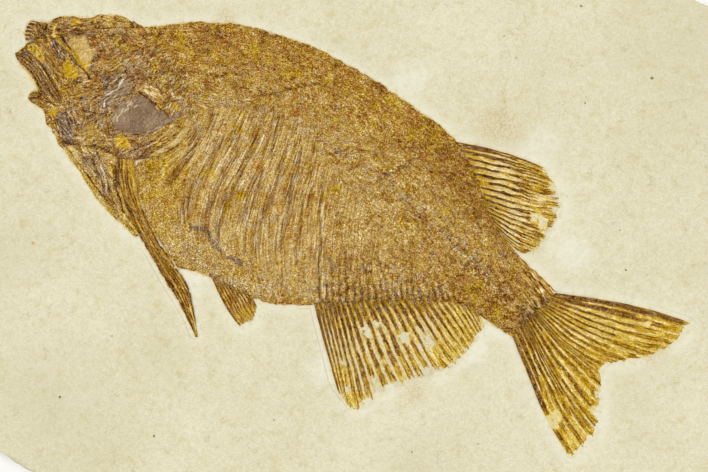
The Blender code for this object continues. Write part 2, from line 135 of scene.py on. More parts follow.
def solid(name, plan, top, skirts, marks):
    """A closed piece: a grid in plan with its top heights, and rings below its rim down to a foot.

    Each skirt is a height with the plan of its ring, or None to go straight down. Marks are named
    values of the surface, one for each point of the grid.
    """
    run_u = plan[1:, :-1] - plan[:-1, :-1]
    run_v = plan[:-1, 1:] - plan[:-1, :-1]
    if np.sum(run_u[..., 0] * run_v[..., 1] - run_u[..., 1] * run_v[..., 0]) < 0:
        plan, top = plan[::-1], top[::-1]
        marks = {key: value[::-1] for key, value in marks.items()}
    columns, rows = top.shape
    place = np.arange(columns * rows).reshape(columns, rows)
    rim = rim_of(place)
    corners = [place[:-1, :-1], place[1:, :-1], place[1:, 1:], place[:-1, 1:]]
    faces = np.stack(corners, axis=-1).reshape(-1, 4).tolist()
    points = [np.concatenate([plan, top[..., None]], axis=-1).reshape(-1, 3)]
    above = rim
    for height, ring in skirts:
        ring = rim_of(plan) if ring is None else ring
        points.append(np.column_stack([ring, np.full(len(ring), height)]))
        below = np.arange(len(rim)) + sum(len(part) for part in points[:-1])
        faces += np.column_stack([above, np.roll(above, -1), np.roll(below, -1), below]).tolist()
        above = below
    faces.append(above.tolist())
    mesh = bpy.data.meshes.new(name)
    mesh.from_pydata((np.concatenate(points) * MM).tolist(), [], faces)
    for key, value in marks.items():
        kind = ("FLOAT_VECTOR", "vector") if value.ndim == 3 else ("FLOAT", "value")
        flat = value.reshape(columns * rows, -1)
        flat = np.concatenate([flat] + [flat[rim]] * len(skirts)).astype(np.float32)
        mesh.attributes.new(key, kind[0], "POINT").data.foreach_set(kind[1], flat.ravel())
    mesh.polygons.foreach_set("use_smooth", np.full(len(faces), True))
    mesh.set_sharp_from_angle(angle=np.radians(62))
    made = bpy.data.objects.new(name, mesh)
    bpy.context.scene.collection.objects.link(made)
    return made


def bone_plan_tree():
    """Every CAD bone pressed flat, and whether each of its faces belongs to a fin."""
    corners, faces, thin = [], [], []
    for node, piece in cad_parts.items():
        if node == "slab":
            continue
        mesh = piece.data
        mesh.calc_loop_triangles()
        for face in mesh.loop_triangles:
            if face.normal.z > 0.3:
                start = len(corners)
                corners += [(*(mesh.vertices[k].co.xy / MM), 0.0) for k in face.vertices]
                faces.append((start, start + 1, start + 2))
                thin.append(node.endswith("_fin"))
    return BVHTree.FromPolygons(corners, faces), thin


def slab_ring():
    """The slab's outline where its edge bulges most, from the left end of its lower side."""
    corners = np.array([corner.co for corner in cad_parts["slab"].data.vertices]) / MM
    ring = corners[np.abs(corners[:, 2] - BULGE) < 0.3][:, :2]
    ring = np.unique(np.round(ring, 2), axis=0)
    ring = ring[np.argsort(np.arctan2(ring[:, 1], ring[:, 0]))]
    reach = np.abs(ring).max(axis=0)
    first = (ring / reach + 1).sum(axis=1).argmin()
    return np.roll(ring, -first, axis=0)


def slab_sides(ring):
    """The four sides of the outline: lower and upper run left to right, left and right run up."""
    reach = np.abs(ring).max(axis=0)
    turns = [(ring / reach * sign).sum(axis=1).argmax() for sign in ((1, -1), (1, 1), (-1, 1))]
    a, b, c = turns
    closing = np.concatenate([ring[c:], ring[:1]])
    return ring[:a + 1], ring[b:c + 1][::-1], closing[::-1], ring[a:b + 1]


lower, upper, left, right = slab_sides(slab_ring())
lower, upper = spread(lower, SLAB_COLUMNS), spread(upper, SLAB_COLUMNS)
left, right = spread(left, SLAB_ROWS), spread(right, SLAB_ROWS)
outline = rim_of(filled_frame(lower, upper, left, right))
outline_run = np.roll(outline, -4, axis=0) - np.roll(outline, 4, axis=0)
inward = np.column_stack([outline_run[:, 1], -outline_run[:, 0]])
inward /= np.linalg.norm(inward, axis=1)[:, None]
travelled = np.cumsum(np.linalg.norm(np.roll(outline, -1, axis=0) - outline, axis=1))


def edge_ring(height):
    """The broken edge's plan at a height: thin beds, each with its own reach, and small chips."""
    depth = np.interp(height, EDGE_HEIGHTS, EDGE_INSETS)
    bed = np.column_stack([travelled / 34, np.full(len(travelled), height / BED_THICKNESS)])
    chip = np.column_stack([travelled / 3.2, np.full(len(travelled), height / 2.3)])
    depth = depth + BED_STEP * (0.6 + cloud(bed, 1.0, 41, 2)) + 0.35 * cloud(chip, 1.0, 42, 2)
    return outline + inward * np.clip(depth, 0.0, None)[:, None]


rim = ragged(edge_ring(FACE), 0.8)
turn = np.cumsum([0, SLAB_ROWS - 1, SLAB_COLUMNS - 1, SLAB_ROWS - 1, SLAB_COLUMNS - 1])
closed_rim = np.concatenate([rim, rim[:1]])
left, upper, right, lower = (closed_rim[turn[k]:turn[k + 1] + 1] for k in range(4))
slab_plan = filled_frame(lower[::-1], upper, left, right[::-1])
bones, thin = bone_plan_tree()
nearest = [bones.find_nearest((x, y, 0.0)) for x, y in slab_plan.reshape(-1, 2)]
from_fish = np.array([found[3] for found in nearest]).reshape(slab_plan.shape[:2])
by_fin = np.array([float(thin[found[2]]) for found in nearest]).reshape(slab_plan.shape[:2])


def stone_level(plan, scraped=1.0):
    """Height of the stone's face: scraped is 1 beside and under the fish, and 0 away from it."""
    level = FACE + FACE_SWELL * cloud(plan, 55, 43) + 0.04 * cloud(plan, 7, 44, 2)
    return level - PREPARED_DEPTH * scraped * (1 + 0.2 * cloud(plan, 6, 45, 2))


slab_top = stone_level(slab_plan, np.exp(-(from_fish / PREPARED_REACH) ** 2))


def paint(red, green, blue):
    """A colour given as it looks, from 0 to 255, in the linear values that Blender keeps."""
    share = np.array([red, green, blue]) / 255
    linear = np.where(share <= 0.04045, share / 12.92, ((share + 0.055) / 1.055) ** 2.4)
    return (*map(float, linear), 1.0)


def add(tree, kind, **settings):
    """A new node, with its settings."""
    made = tree.nodes.new(kind)
    for key, value in settings.items():
        setattr(made, key, value)
    return made


def feed(tree, socket, source):
    """Joins a socket to another node's output, or sets it to a plain value."""
    if isinstance(source, bpy.types.NodeSocket):
        tree.links.new(source, socket)
    else:
        socket.default_value = source


def maths(tree, operation, first, second=0.0, third=0.0):
    made = add(tree, "ShaderNodeMath", operation=operation)
    for socket, source in zip(made.inputs, (first, second, third)):
        feed(tree, socket, source)
    return made.outputs[0]


def times(tree, first, second):
    return maths(tree, "MULTIPLY", first, second)


def vectors(tree, operation, *sources):
    """Vector maths on places or colours. It gives a vector and a plain value."""
    made = add(tree, "ShaderNodeVectorMath", operation=operation)
    for socket, source in zip(made.inputs, sources):
        feed(tree, socket, source)
    return made.outputs


def ranged(tree, value, low, high, least=0.0, most=1.0):
    """A value brought from between low and high to between least and most, with soft ends."""
    made = add(tree, "ShaderNodeMapRange", interpolation_type="SMOOTHSTEP")
    for socket, source in zip(made.inputs[:5], (value, low, high, least, most)):
        feed(tree, socket, source)
    return made.outputs[0]


def mixed(tree, share, first, second, kind="MIX"):
    made = add(tree, "ShaderNodeMix", data_type="RGBA", blend_type=kind)
    for socket, source in ((0, share), (6, first), (7, second)):
        feed(tree, made.inputs[socket], source)
    return made.outputs[2]


def noise(tree, place, scale, detail=2.0, roughness=0.5, distortion=0.0, gives="Fac"):
    made = add(tree, "ShaderNodeTexNoise")
    sources = (place, scale, detail, roughness, distortion)
    for key, source in zip(("Vector", "Scale", "Detail", "Roughness", "Distortion"), sources):
        feed(tree, made.inputs[key], source)
    return made.outputs[gives]


def swing(tree, value, amount):
    """A noise's value from 0 to 1 turned into a swing about 0."""
    return maths(tree, "MULTIPLY_ADD", value, 2 * amount, -amount)


def layered(tree, start, layers):
    """A start value with noises laid over it: each layer is a noise's value and its swing."""
    for value, amount in layers:
        start = maths(tree, "ADD", start, swing(tree, value, amount))
    return start


def ramp(tree, value, stops):
    """A colour ramp: each stop is a place from 0 to 1 and a colour."""
    made = add(tree, "ShaderNodeValToRGB")
    steps = made.color_ramp.elements
    while len(steps) < len(stops):
        steps.new(0.5)
    for step, (place, colour) in zip(steps, stops):
        step.position = place
        step.color = colour
    feed(tree, made.inputs[0], value)
    return made.outputs[0]


def hairlines(tree, value, reach):
    """1 along the thin lines where a noise passes its middle, and 0 away from them."""
    gap = maths(tree, "ABSOLUTE", maths(tree, "SUBTRACT", value, 0.5))
    return ranged(tree, gap, 0.0, reach, 1.0, 0.0)


def millimetres(tree):
    """The place on the object, in millimetres."""
    scaled = add(tree, "ShaderNodeVectorMath", operation="SCALE")
    feed(tree, scaled.inputs[0], add(tree, "ShaderNodeTexCoord").outputs["Object"])
    feed(tree, scaled.inputs["Scale"], 1 / MM)
    return scaled.outputs[0]


def effect(name, inputs, outputs):
    """A shader node group with named inputs and outputs, and its two end nodes."""
    group = bpy.data.node_groups.new(name, "ShaderNodeTree")
    for way, sockets in (("INPUT", inputs), ("OUTPUT", outputs)):
        for key, kind in sockets:
            group.interface.new_socket(key, in_out=way, socket_type="NodeSocket" + kind)
    return group, add(group, "NodeGroupInput").outputs, add(group, "NodeGroupOutput").inputs


def placed(tree, group, **sources):
    """The group put to work in a material. Spaces in its socket names are written as _."""
    made = add(tree, "ShaderNodeGroup", node_tree=group)
    for key, source in sources.items():
        feed(tree, made.inputs[key.replace("_", " ")], source)
    return made.outputs


def mark_of(tree, key, socket="Fac"):
    return add(tree, "ShaderNodeAttribute", attribute_name=key).outputs[socket]


def finish_with(tree, colour, roughness, height, depth, specular):
    """Joins a material's colour, roughness and fine relief to its shader. Depth is in mm."""
    shader = tree.nodes["Principled BSDF"]
    feed(tree, shader.inputs["Base Color"], colour)
    feed(tree, shader.inputs["Roughness"], roughness)
    shader.inputs["Specular IOR Level"].default_value = specular
    bump = add(tree, "ShaderNodeBump")
    bump.inputs["Strength"].default_value = 1.0
    bump.inputs["Distance"].default_value = depth * MM
    feed(tree, bump.inputs["Height"], height)
    feed(tree, shader.inputs["Normal"], bump.outputs[0])


def new_finish(name):
    material = bpy.data.materials.new(name)
    material.use_nodes = True
    return material, material.node_tree


# Colours of the stone, and a group that both the slab and the stone left on bones share.
STONE_PALE = paint(239, 233, 205)
STONE_WARM = paint(217, 209, 170)
STONE_STAIN = paint(209, 190, 134)
STONE_CRACK = paint(190, 176, 130)

limestone, given, kept = effect(
    "fine_limestone", [("Place", "Vector")], [("Color", "Color"), ("Height", "Float")])
place = given["Place"]
broad = noise(limestone, place, 0.03)
blotch = noise(limestone, place, 0.17)
fleck = noise(limestone, place, 0.52, 1.0)
grain = noise(limestone, place, 1.5, 1.0, 0.6)
lightness = layered(limestone, 0.52, [(broad, 0.36), (blotch, 0.16), (fleck, 0.36), (grain, 0.85)])
colour = ramp(limestone, lightness, [(0.0, STONE_WARM), (1.0, STONE_PALE)])
warmth = noise(limestone, place, 0.22, 3.0, 0.6, 0.3)
colour = mixed(limestone, ranged(limestone, warmth, 0.48, 0.78, 0.0, 0.42), colour, STONE_STAIN)
course = noise(limestone, place, 0.13, 2.0, 0.55, 1.2)
short = noise(limestone, place, 0.11, 2.0, 0.6)
crack = times(limestone, hairlines(limestone, course, 0.005),
              ranged(limestone, short, 0.55, 0.66, 0.0, 0.5))
colour = mixed(limestone, crack, colour, STONE_CRACK)
feed(limestone, kept["Color"], colour)
rough = layered(limestone, 0.5, [(grain, 0.5), (fleck, 0.5), (blotch, 0.2)])
feed(limestone, kept["Height"], maths(limestone, "SUBTRACT", rough, crack))


def line_gap(plan, line):
    """Each point's distance from a line drawn through points."""
    line = np.asarray(line, float)
    nearest = np.full(plan.shape[:-1], np.inf)
    for first, step in zip(line[:-1], np.diff(line, axis=0)):
        share = np.clip(((plan - first) @ step) / (step @ step), 0, 1)
        gap = np.linalg.norm(plan - first - share[..., None] * step, axis=-1)
        nearest = np.minimum(nearest, gap)
    return nearest


def stroke(plan, line, width, fade=0.6):
    """1 on a drawn line of some width, and 0 away from it."""
    return soft(-line_gap(plan, line), -(width + fade) / 2, -(width - fade) / 2 + 1e-6)


def patch(plan, outline, fade=0.9):
    """1 inside an outline, and 0 outside it."""
    closed = list(outline) + [outline[0]]
    inside = np.zeros(plan.shape[:-1], bool)
    x, y = plan[..., 0], plan[..., 1]
    for (x0, y0), (x1, y1) in zip(closed, closed[1:]):
        if y0 != y1:
            inside ^= ((y0 > y) != (y1 > y)) & (x < x0 + (y - y0) * (x1 - x0) / (y1 - y0))
    return soft(np.where(inside, 1, -1) * line_gap(plan, closed), -fade / 2, fade / 2)


def spot(plan, centre, radius, fade=1.0):
    """1 in a round spot, and 0 outside it."""
    gap = np.linalg.norm(plan - np.array(centre), axis=-1)
    return soft(radius - gap, -fade / 2, fade / 2)


# Where the stone beside the fish was scraped whiter and where brown has seeped into it, each a
# place and a reach in mm, and where a needle has left a line round a fin.
SCRAPED_WHITE = [((94, 45), 9), ((60, -57), 8), ((74, -47), 7), ((-17, -66), 8), ((-80, -22), 6),
                 ((110, -8), 9), ((-110, 4), 7), ((118, -90), 9), ((28, 79), 9)]
SEEPED_BROWN = [((72, 54), 11), ((30, -77), 7), ((90, -5), 6), ((150, -58), 6), ((-64, 108), 5)]
NEEDLE_LINES = [[(-24, -38), (-15, -64), (-6, -86)], [(-104, -12), (-92, -36), (-77, -58)],
                [(88, -100), (96, -112), (106, -116)], [(150, -30), (170, -38)]]
NEEDLE_GAP = 2.5               # from the fish to the needle's line
# Where the face is a little darker, towards some of its corners and edges: a place and a reach.
DARKER_AREAS = [((-150, -84), 70), ((165, 92), 64), ((-180, -10), 44), ((30, -120), 40)]


def widest(masks):
    """The largest of several masks at each point."""
    return np.max(list(masks), axis=0)


# The marks of the face, one value for each point of its grid.
loose_plan = ragged(slab_plan, 2.0)
slab_marks = {
    "from_fish": from_fish,
    "by_fin": by_fin,
    "scraped_white": widest(spot(loose_plan, centre, reach, reach) for centre, reach in SCRAPED_WHITE),
    "seeped": widest(spot(loose_plan, centre, reach, reach * 1.4) for centre, reach in SEEPED_BROWN),
    "needled": widest(stroke(slab_plan, line, 8, 6) for line in NEEDLE_LINES),
    "darker_areas": widest(spot(slab_plan, centre, reach * 0.4, reach * 1.2) for centre, reach in DARKER_AREAS),
}
slab = solid("limestone_slab", slab_plan, slab_top,
             [(height, edge_ring(height)) for height in EDGE_LEVELS], slab_marks)

# Mineral specks in the face: place, radius and colour.
BROWN_SPECK = paint(120, 82, 34)
BLACK_SPECK = paint(72, 58, 44)
ORANGE_SPECK = paint(214, 164, 84)
GREY_SPECK = paint(168, 158, 122)
SPECKS = [
    ((149, 79), 1.1, BROWN_SPECK), ((113.5, 115), 0.7, BLACK_SPECK), ((75, 100), 0.8, GREY_SPECK),
    ((81, 89), 0.8, GREY_SPECK), ((-147, -80.5), 0.8, BLACK_SPECK), ((29, -108), 0.6, BROWN_SPECK),
    ((-100, -100), 0.8, BLACK_SPECK), ((136, -17), 0.7, BLACK_SPECK), ((133, 3), 0.6, BROWN_SPECK),
    ((115.5, 66.5), 0.7, BLACK_SPECK), ((-121, -50), 0.7, GREY_SPECK),
    ((-160.5, -3.5), 1.2, ORANGE_SPECK), ((-172, 62), 0.5, BLACK_SPECK),
    ((62, -104), 0.6, GREY_SPECK), ((-40, -92), 0.6, BROWN_SPECK),
]
# The finish of the slab: its stone, and what the fish and the scraping have left on it.
stone, tree = new_finish("brushed_limestone")
place = millimetres(tree)
face = placed(tree, limestone, Place=place)
away = mark_of(tree, "from_fish")
mottle = noise(tree, place, 0.35, 3.0, 0.6)
streaks = noise(tree, place, 1.3, 3.0, 0.6)
halo = times(tree, ranged(tree, away, 0.5, 8.0, 0.8, 0.0), ranged(tree, mottle, 0.25, 0.6))
# The face is mixed a little darker over those areas.
darker_tint = times(tree, mark_of(tree, "darker_areas"), 0.30)
white = times(tree, mark_of(tree, "scraped_white"), ranged(tree, mottle, 0.25, 0.65, 0.15, 0.75))
brown = times(tree, mark_of(tree, "seeped"), ranged(tree, streaks, 0.40, 0.7, 0.12, 0.85))
uneven = maths(tree, "ADD", away, times(tree, maths(tree, "SUBTRACT", mottle, 0.5), 3.0))
stained = ranged(tree, mark_of(tree, "by_fin"), 0.0, 1.0, 1.0, 0.25)
warm = times(tree, ranged(tree, uneven, -0.6, 2.0, 0.62, 0.0), stained)
beside = times(tree, ranged(tree, away, 0.0, 0.25, 0.35, 1.0), stained)
edge_stain = times(tree, ranged(tree, uneven, -0.5, 1.3, 0.72, 0.0), beside)
off_line = maths(tree, "ABSOLUTE", maths(tree, "SUBTRACT", away, NEEDLE_GAP))
scored = times(tree, ranged(tree, off_line, 0.05, 0.32, 0.42, 0.0), mark_of(tree, "needled"))
stains = [(halo, paint(239, 235, 210)), (darker_tint, paint(205, 197, 160)), (white, paint(240, 237, 217)),
          (brown, paint(203, 180, 124)), (warm, paint(229, 211, 148)), (edge_stain, paint(205, 172, 92)),
          (scored, paint(176, 152, 92))]
colour = face["Color"]
for where, shade in stains:
    colour = mixed(tree, where, colour, shade)
shaken = vectors(tree, "ADD", place, noise(tree, place, 1.4, gives="Color"))[0]
for centre, radius, shade in SPECKS:
    gap = vectors(tree, "DISTANCE", shaken, (centre[0] + 0.5, centre[1] + 0.5, FACE + 0.5))["Value"]
    colour = mixed(tree, ranged(tree, gap, radius * 0.35, radius, 0.85, 0.0), colour, shade)
flat_place = vectors(tree, "MULTIPLY", place, (0.02, 0.02, 1.0))[0]
bed_tint = ranged(tree, noise(tree, flat_place, 0.9, 3.0, 0.6), 0.42, 0.68)
split = add(tree, "ShaderNodeSeparateXYZ")
feed(tree, split.inputs[0], place)
on_edge = times(tree, ranged(tree, split.outputs[2], FACE - 1.0, FACE - 2.0), 0.6)
colour = mixed(tree, times(tree, bed_tint, on_edge), colour, paint(190, 170, 122))
height = maths(tree, "SUBTRACT", face["Height"], scored)
roughness = ranged(tree, mottle, 0.3, 0.7, 0.78, 0.92)
finish_with(tree, colour, roughness, height, 0.16, 0.15)
slab.data.materials.append(stone)
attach(slab, "root")
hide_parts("slab")


# ---- The trunk ------------------------------------------------------------------------------
# The flattened body behind the head: a brown film of scales and flesh turned to stone, with the
# backbone, the ribs and the spines pressed through it. It is part of the slab, left standing
# proud when the stone round it was scraped down.

TRUNK_COLUMNS = 384
ROWS_ABOVE = 92                # from the back's outline to the backbone
ROWS_BELOW = 156               # and on to the belly's outline
BONE_FOOT = 14.2               # underside of every bone, inside the stone
MARGIN_RISE = 0.45             # of the body above the stone at its outline
TRUNK_RISE = 2.4               # and of its middle above that
TRUNK_SHOULDER = 9.0           # how far in the body reaches most of its rise
TRUNK_SPLINTERS = 1500
BROAD_FADE = 14                # soft edge of the broad changes of colour
WRIST_FADE = 5                 # and of those in front of the tail


def table(text):
    """Rows of a written table. Bars part the columns: points as x,y in mm, marks as a name and its
    value, or one number."""
    rows = []
    for line in text.strip().splitlines():
        rows.append([])
        for column in line.split("|"):
            words = column.split()
            if "," in words[0]:
                rows[-1].append([tuple(map(float, word.split(","))) for word in words])
            elif words[0].isalpha():
                rows[-1].append(dict(zip(words[::2], map(float, words[1::2]))))
            else:
                rows[-1].append(float(words[0]))
    return rows


GILL_SLIT_UPPER = [(-102, 104.5), (-95.5, 97), (-88.5, 85.5), (-82, 70.5)]
GILL_SLIT_LOWER = [(-82, 70.5), (-80, 62), (-82, 53), (-88, 45.5), (-97, 40.5), (-106, 37.5)]
FIN_CHANNEL = [(-110, 32), (-107.5, 20.5), (-102.5, 8.5), (-97, -2), (-89.5, -15)]
BODY_LINES = [(GILL_SLIT_UPPER, GILL_SLIT_LOWER + FIN_CHANNEL)] + table("""
    -74.5,107 -69.5,88 -66,68 | -66,68 -74,48 -84.5,30.5 -88.5,13 -85.5,-2 -77,-18.5
    -49.5,104 -46,83 -44.5,62 | -44.5,62 -52,43 -63,20.5 -67,-2 -57,-28.5
    -22,95 -21,75.5 -24,54 | -24,54 -27,38 -33,18 -37,-7 -35.5,-34
    3,82 2,63 -3,39 | -3,39 -7,23 -10,5.5 -11.5,-14.5 -12,-33.5
    28,66 25.5,45.5 19.5,23 | 19.5,23 15,5.5 11,-14.5 10,-32.5
    51.5,47 49,29 41,5.5 | 41,5.5 36,-9.5 33,-22 34,-32
    64,23 62,5.5 58,-11 | 58,-11 54,-22 53.5,-34
    74,0 73,-11 69,-23.5 | 69,-23.5 66.5,-33 66,-42
    101,-28.5 96.5,-32 90.5,-37.5 | 90.5,-37.5 85,-43.5 79.5,-51
""")


def rim_gap(plan):
    """Each point's distance from the rim of its grid."""
    rim = rim_of(plan)
    tree = KDTree(len(rim))
    for k, (x, y) in enumerate(rim):
        tree.insert((x, y, 0.0), k)
    tree.balance()
    gaps = [tree.find((x, y, 0.0))[2] for x, y in plan.reshape(-1, 2)]
    return np.array(gaps).reshape(plan.shape[:2])


def plain_marks(plan, tone, grey=0.0, rust=0.0, gold=0.0, grain=1.0, lined=0.0):
    """The marks every bone carries: how light it is, its tints, bare stone, grain and fibres."""
    made = dict(tone=tone, grey=grey, rust=rust, gold=gold, stone=0.0, grain=grain, lined=lined)
    return {key: np.full(plan.shape[:2], float(value)) for key, value in made.items()}


def lay(marks, top, mask, rise=0.0, near=..., **values):
    """Lays a feature over the marks where its mask is 1, and raises or lowers the surface there.

    near picks the points that the mask is for, which are all of them unless it is given.
    """
    for key, value in values.items():
        marks[key][near] += (value - marks[key][near]) * mask
    if rise:
        top[near] += rise * mask


def fibres(across, along):
    """Coordinates for lines that run with the bone: fast across them and slow along them."""
    return np.stack([across, along, np.zeros_like(across)], axis=-1)


def flecks(plan, marks, top, count, seed, length, width, turn, amounts, rise):
    """Short curved splinters scattered over a piece. turn(x, y) is the way that they lie."""
    chance = np.random.default_rng(seed)
    flat = plan.reshape(-1, 2)
    for _ in range(count):
        centre = flat[chance.integers(len(flat))]
        way = turn(*centre) + chance.normal(0, 0.3)
        reach = length * chance.uniform(0.4, 1.0)
        step = np.array([np.cos(way), np.sin(way)]) * reach / 2
        bow = np.array([-step[1], step[0]]) * chance.uniform(-0.3, 0.3)
        line = [centre - step, centre + bow, centre + step]
        near = (np.abs(plan - centre) < reach).all(axis=-1)
        if near.sum() < 4:
            continue
        wide = width * chance.uniform(0.6, 1.4)
        mask = stroke(plan[near], line, wide, 0.5) * chance.uniform(0.4, 1.0)
        key, change = amounts[chance.integers(len(amounts))]
        marks[key][near] = np.clip(marks[key][near] + change * mask, -0.1, 1.1)
        top[near] += rise * mask * np.sign(change if key == "tone" else 1)


BONE_COLOURS = [
    (0.0, paint(88, 54, 6)), (0.2, paint(132, 89, 22)), (0.4, paint(168, 123, 46)),
    (0.6, paint(198, 155, 72)), (0.8, paint(220, 185, 110)), (1.0, paint(239, 217, 163)),
]
ASH_COLOURS = [
    (0.0, paint(78, 57, 40)), (0.3, paint(122, 97, 72)), (0.55, paint(158, 133, 104)),
    (0.8, paint(196, 174, 140)), (1.0, paint(230, 215, 183)),
]
RUST_COLOURS = [
    (0.0, paint(92, 48, 6)), (0.35, paint(140, 84, 14)), (0.65, paint(178, 116, 30)),
    (1.0, paint(216, 162, 78)),
]
GOLD_COLOURS = [
    (0.0, paint(104, 74, 2)), (0.35, paint(164, 121, 3)), (0.65, paint(206, 163, 16)),
    (1.0, paint(240, 213, 108)),
]

bone_film, given, kept = effect(
    "bone_film",
    [("Place", "Vector"), ("Fibre", "Vector")]
    + [(key, "Float") for key in ("Tone", "Grey", "Rust", "Gold", "Stone", "Lined", "Grain")],
    [("Color", "Color"), ("Height", "Float"), ("Gloss", "Float")])


def grains(tree, place, scale, shake):
    """Crisp little grains: three chance values from 0 to 1, each the same all over a grain."""
    wobble = noise(tree, place, scale * 1.6, gives="Color")
    moved = vectors(tree, "MULTIPLY_ADD", wobble, (shake, shake, shake), place)[0]
    cells = add(tree, "ShaderNodeTexVoronoi")
    feed(tree, cells.inputs["Vector"], moved)
    feed(tree, cells.inputs["Scale"], scale)
    parts = add(tree, "ShaderNodeSeparateColor")
    feed(tree, parts.inputs[0], cells.outputs["Color"])
    return parts.outputs


def gamma(tree, colour, power):
    made = add(tree, "ShaderNodeGamma")
    feed(tree, made.inputs["Color"], colour)
    feed(tree, made.inputs["Gamma"], power)
    return made.outputs[0]


place = given["Place"]
grit = grains(bone_film, place, 1.05, 1.1)
scale = grains(bone_film, place, 0.36, 3.0)
splinter = grains(bone_film, given["Fibre"], 1.0, 0.35)
speckle = noise(bone_film, place, 2.2, 0.5)
clot = noise(bone_film, place, 0.75, 1.5, 0.6)
cloudy = noise(bone_film, place, 0.16)
thread = noise(bone_film, given["Fibre"], 1.0, 1.0)
broad = layered(bone_film, 0.05, [(clot, 0.12), (cloudy, 0.18)])
grain = layered(bone_film, 0.0, [(speckle, 1.15), (grit[0], 0.18), (scale[0], 0.05)])
seam = hairlines(bone_film, noise(bone_film, place, 0.50, 2.0, 0.6, 0.7), 0.038)
# Glint: thin lines that are raised a little in the bump and painted pale as a highlight.
glint = hairlines(bone_film, noise(bone_film, place, 0.62, 2.0, 0.6, 0.9), 0.032)
grain = maths(bone_film, "MULTIPLY_ADD", seam, -0.34, grain)
grain = maths(bone_film, "MULTIPLY_ADD", glint, 0.28, grain)
threads = layered(bone_film, 0.0, [(thread, 1.00), (splinter[0], 0.75)])
# A few splinters get a painted glint: a near-white streak, raised a little in the bump.
threads = maths(bone_film, "ADD", threads, ranged(bone_film, splinter[2], 0.86, 0.92, 0.0, 0.26))
threads = times(bone_film, threads, given["Lined"])
shade = maths(bone_film, "MULTIPLY_ADD", broad, given["Grain"], given["Tone"])
shade = maths(bone_film, "MULTIPLY_ADD", threads, 0.5, shade)
colour = ramp(bone_film, shade, BONE_COLOURS)
# Grey, rust and gold tints: their colours, the size and swing of their drift, and their reach.
TINTS = [("Grey", ASH_COLOURS, 0.26, 0.60, 0.9, scale[0]),
         ("Rust", RUST_COLOURS, 0.24, 1.4, 0.8, scale[1]),
         ("Gold", GOLD_COLOURS, 0.28, 0.75, 0.9, scale[2])]
for key, colours, size, drift, reach, crisp in TINTS:
    varied = layered(bone_film, 0.0, [(noise(bone_film, place, size, 1.5, 0.55), drift), (crisp, 0.10)])
    amount = maths(bone_film, "MULTIPLY_ADD", varied, given["Grain"], given[key])
    colour = mixed(bone_film, ranged(bone_film, amount, 0.05, 0.85, 0.0, reach), colour,
                   ramp(bone_film, shade, colours))
# Broad changes shift the hue, but the fine grain, with its painted highlight lines, only lightens or darkens
# it.
rough = times(bone_film, grain, given["Grain"])
light = maths(bone_film, "MULTIPLY_ADD", threads, 0.5, rough)
as_seen = gamma(bone_film, colour, 1 / 2.2)
lit = vectors(bone_film, "MULTIPLY_ADD", light, (0.45, 0.53, 0.63), as_seen)[0]
dimmest = vectors(bone_film, "MAXIMUM", lit, (0.04, 0.03, 0.01))[0]
colour = gamma(bone_film, dimmest, 2.2)
under = placed(bone_film, limestone, Place=place)
bare = maths(bone_film, "ADD", given["Stone"], swing(bone_film, clot, 0.5))
colour = mixed(bone_film, ranged(bone_film, bare, 0.3, 0.8), colour, under["Color"])
feed(bone_film, kept["Color"], colour)
feed(bone_film, kept["Height"], maths(bone_film, "ADD", rough, threads))
feed(bone_film, kept["Gloss"], maths(bone_film, "MULTIPLY_ADD", clot, -0.35, 0.80))


def bone_finish(name, depth, specular):
    """A finish for bone, which takes its marks from the piece that wears it."""
    material, tree = new_finish(name)
    marks = {key.capitalize(): mark_of(tree, key)
             for key in ("tone", "grey", "rust", "gold", "stone", "lined", "grain")}
    film = placed(tree, bone_film, Place=millimetres(tree), Fibre=mark_of(tree, "fibre", "Vector"),
                  **marks)
    finish_with(tree, film["Color"], film["Gloss"], film["Height"], depth, specular)
    return material


def bone(name, plan, top, marks, finish, node):
    """Makes a bone, gives it its finish and puts it on the slab in its CAD node's place."""
    piece = solid(name, plan, top, [(BONE_FOOT, None)], marks)
    piece.data.materials.append(finish)
    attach(piece, "root")
    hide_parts(node)


body_lines = []
for over, under_it in BODY_LINES:
    onward = spread(under_it, ROWS_BELOW + 1)[1:]
    body_lines.append(np.concatenate([spread(over, ROWS_ABOVE), onward]))
line_place = np.linspace(0, len(BODY_LINES) - 1, TRUNK_COLUMNS)
drawn_plan = spline(np.array(body_lines), line_place)
near_rim = 1 - soft(rim_gap(drawn_plan), 1.0, 6.0)[..., None]
trunk_plan = drawn_plan + (ragged(drawn_plan) - drawn_plan) * near_rim
loose_plan = ragged(trunk_plan, 1.5)
true_plan = ragged(trunk_plan, 0.35)
rim_room = rim_gap(trunk_plan)
shoulder = 1 - np.exp(-rim_room / TRUNK_SHOULDER)
trunk_top = stone_level(trunk_plan) + MARGIN_RISE + TRUNK_RISE * shoulder
# Distances down the body and along its middle, which the fibres follow.
step_down = np.linalg.norm(np.diff(drawn_plan, axis=1), axis=2)
down = np.concatenate([np.zeros((TRUNK_COLUMNS, 1)), np.cumsum(step_down, axis=1)], axis=1)
mid_row = drawn_plan[:, ROWS_ABOVE + 40]
across = np.concatenate([[0], np.cumsum(np.linalg.norm(np.diff(mid_row, axis=0), axis=1))])
across = np.repeat(across[:, None], drawn_plan.shape[1], axis=1)

marks = plain_marks(trunk_plan, 0.59, 0.15, 0.20, 0.24, 0.92)
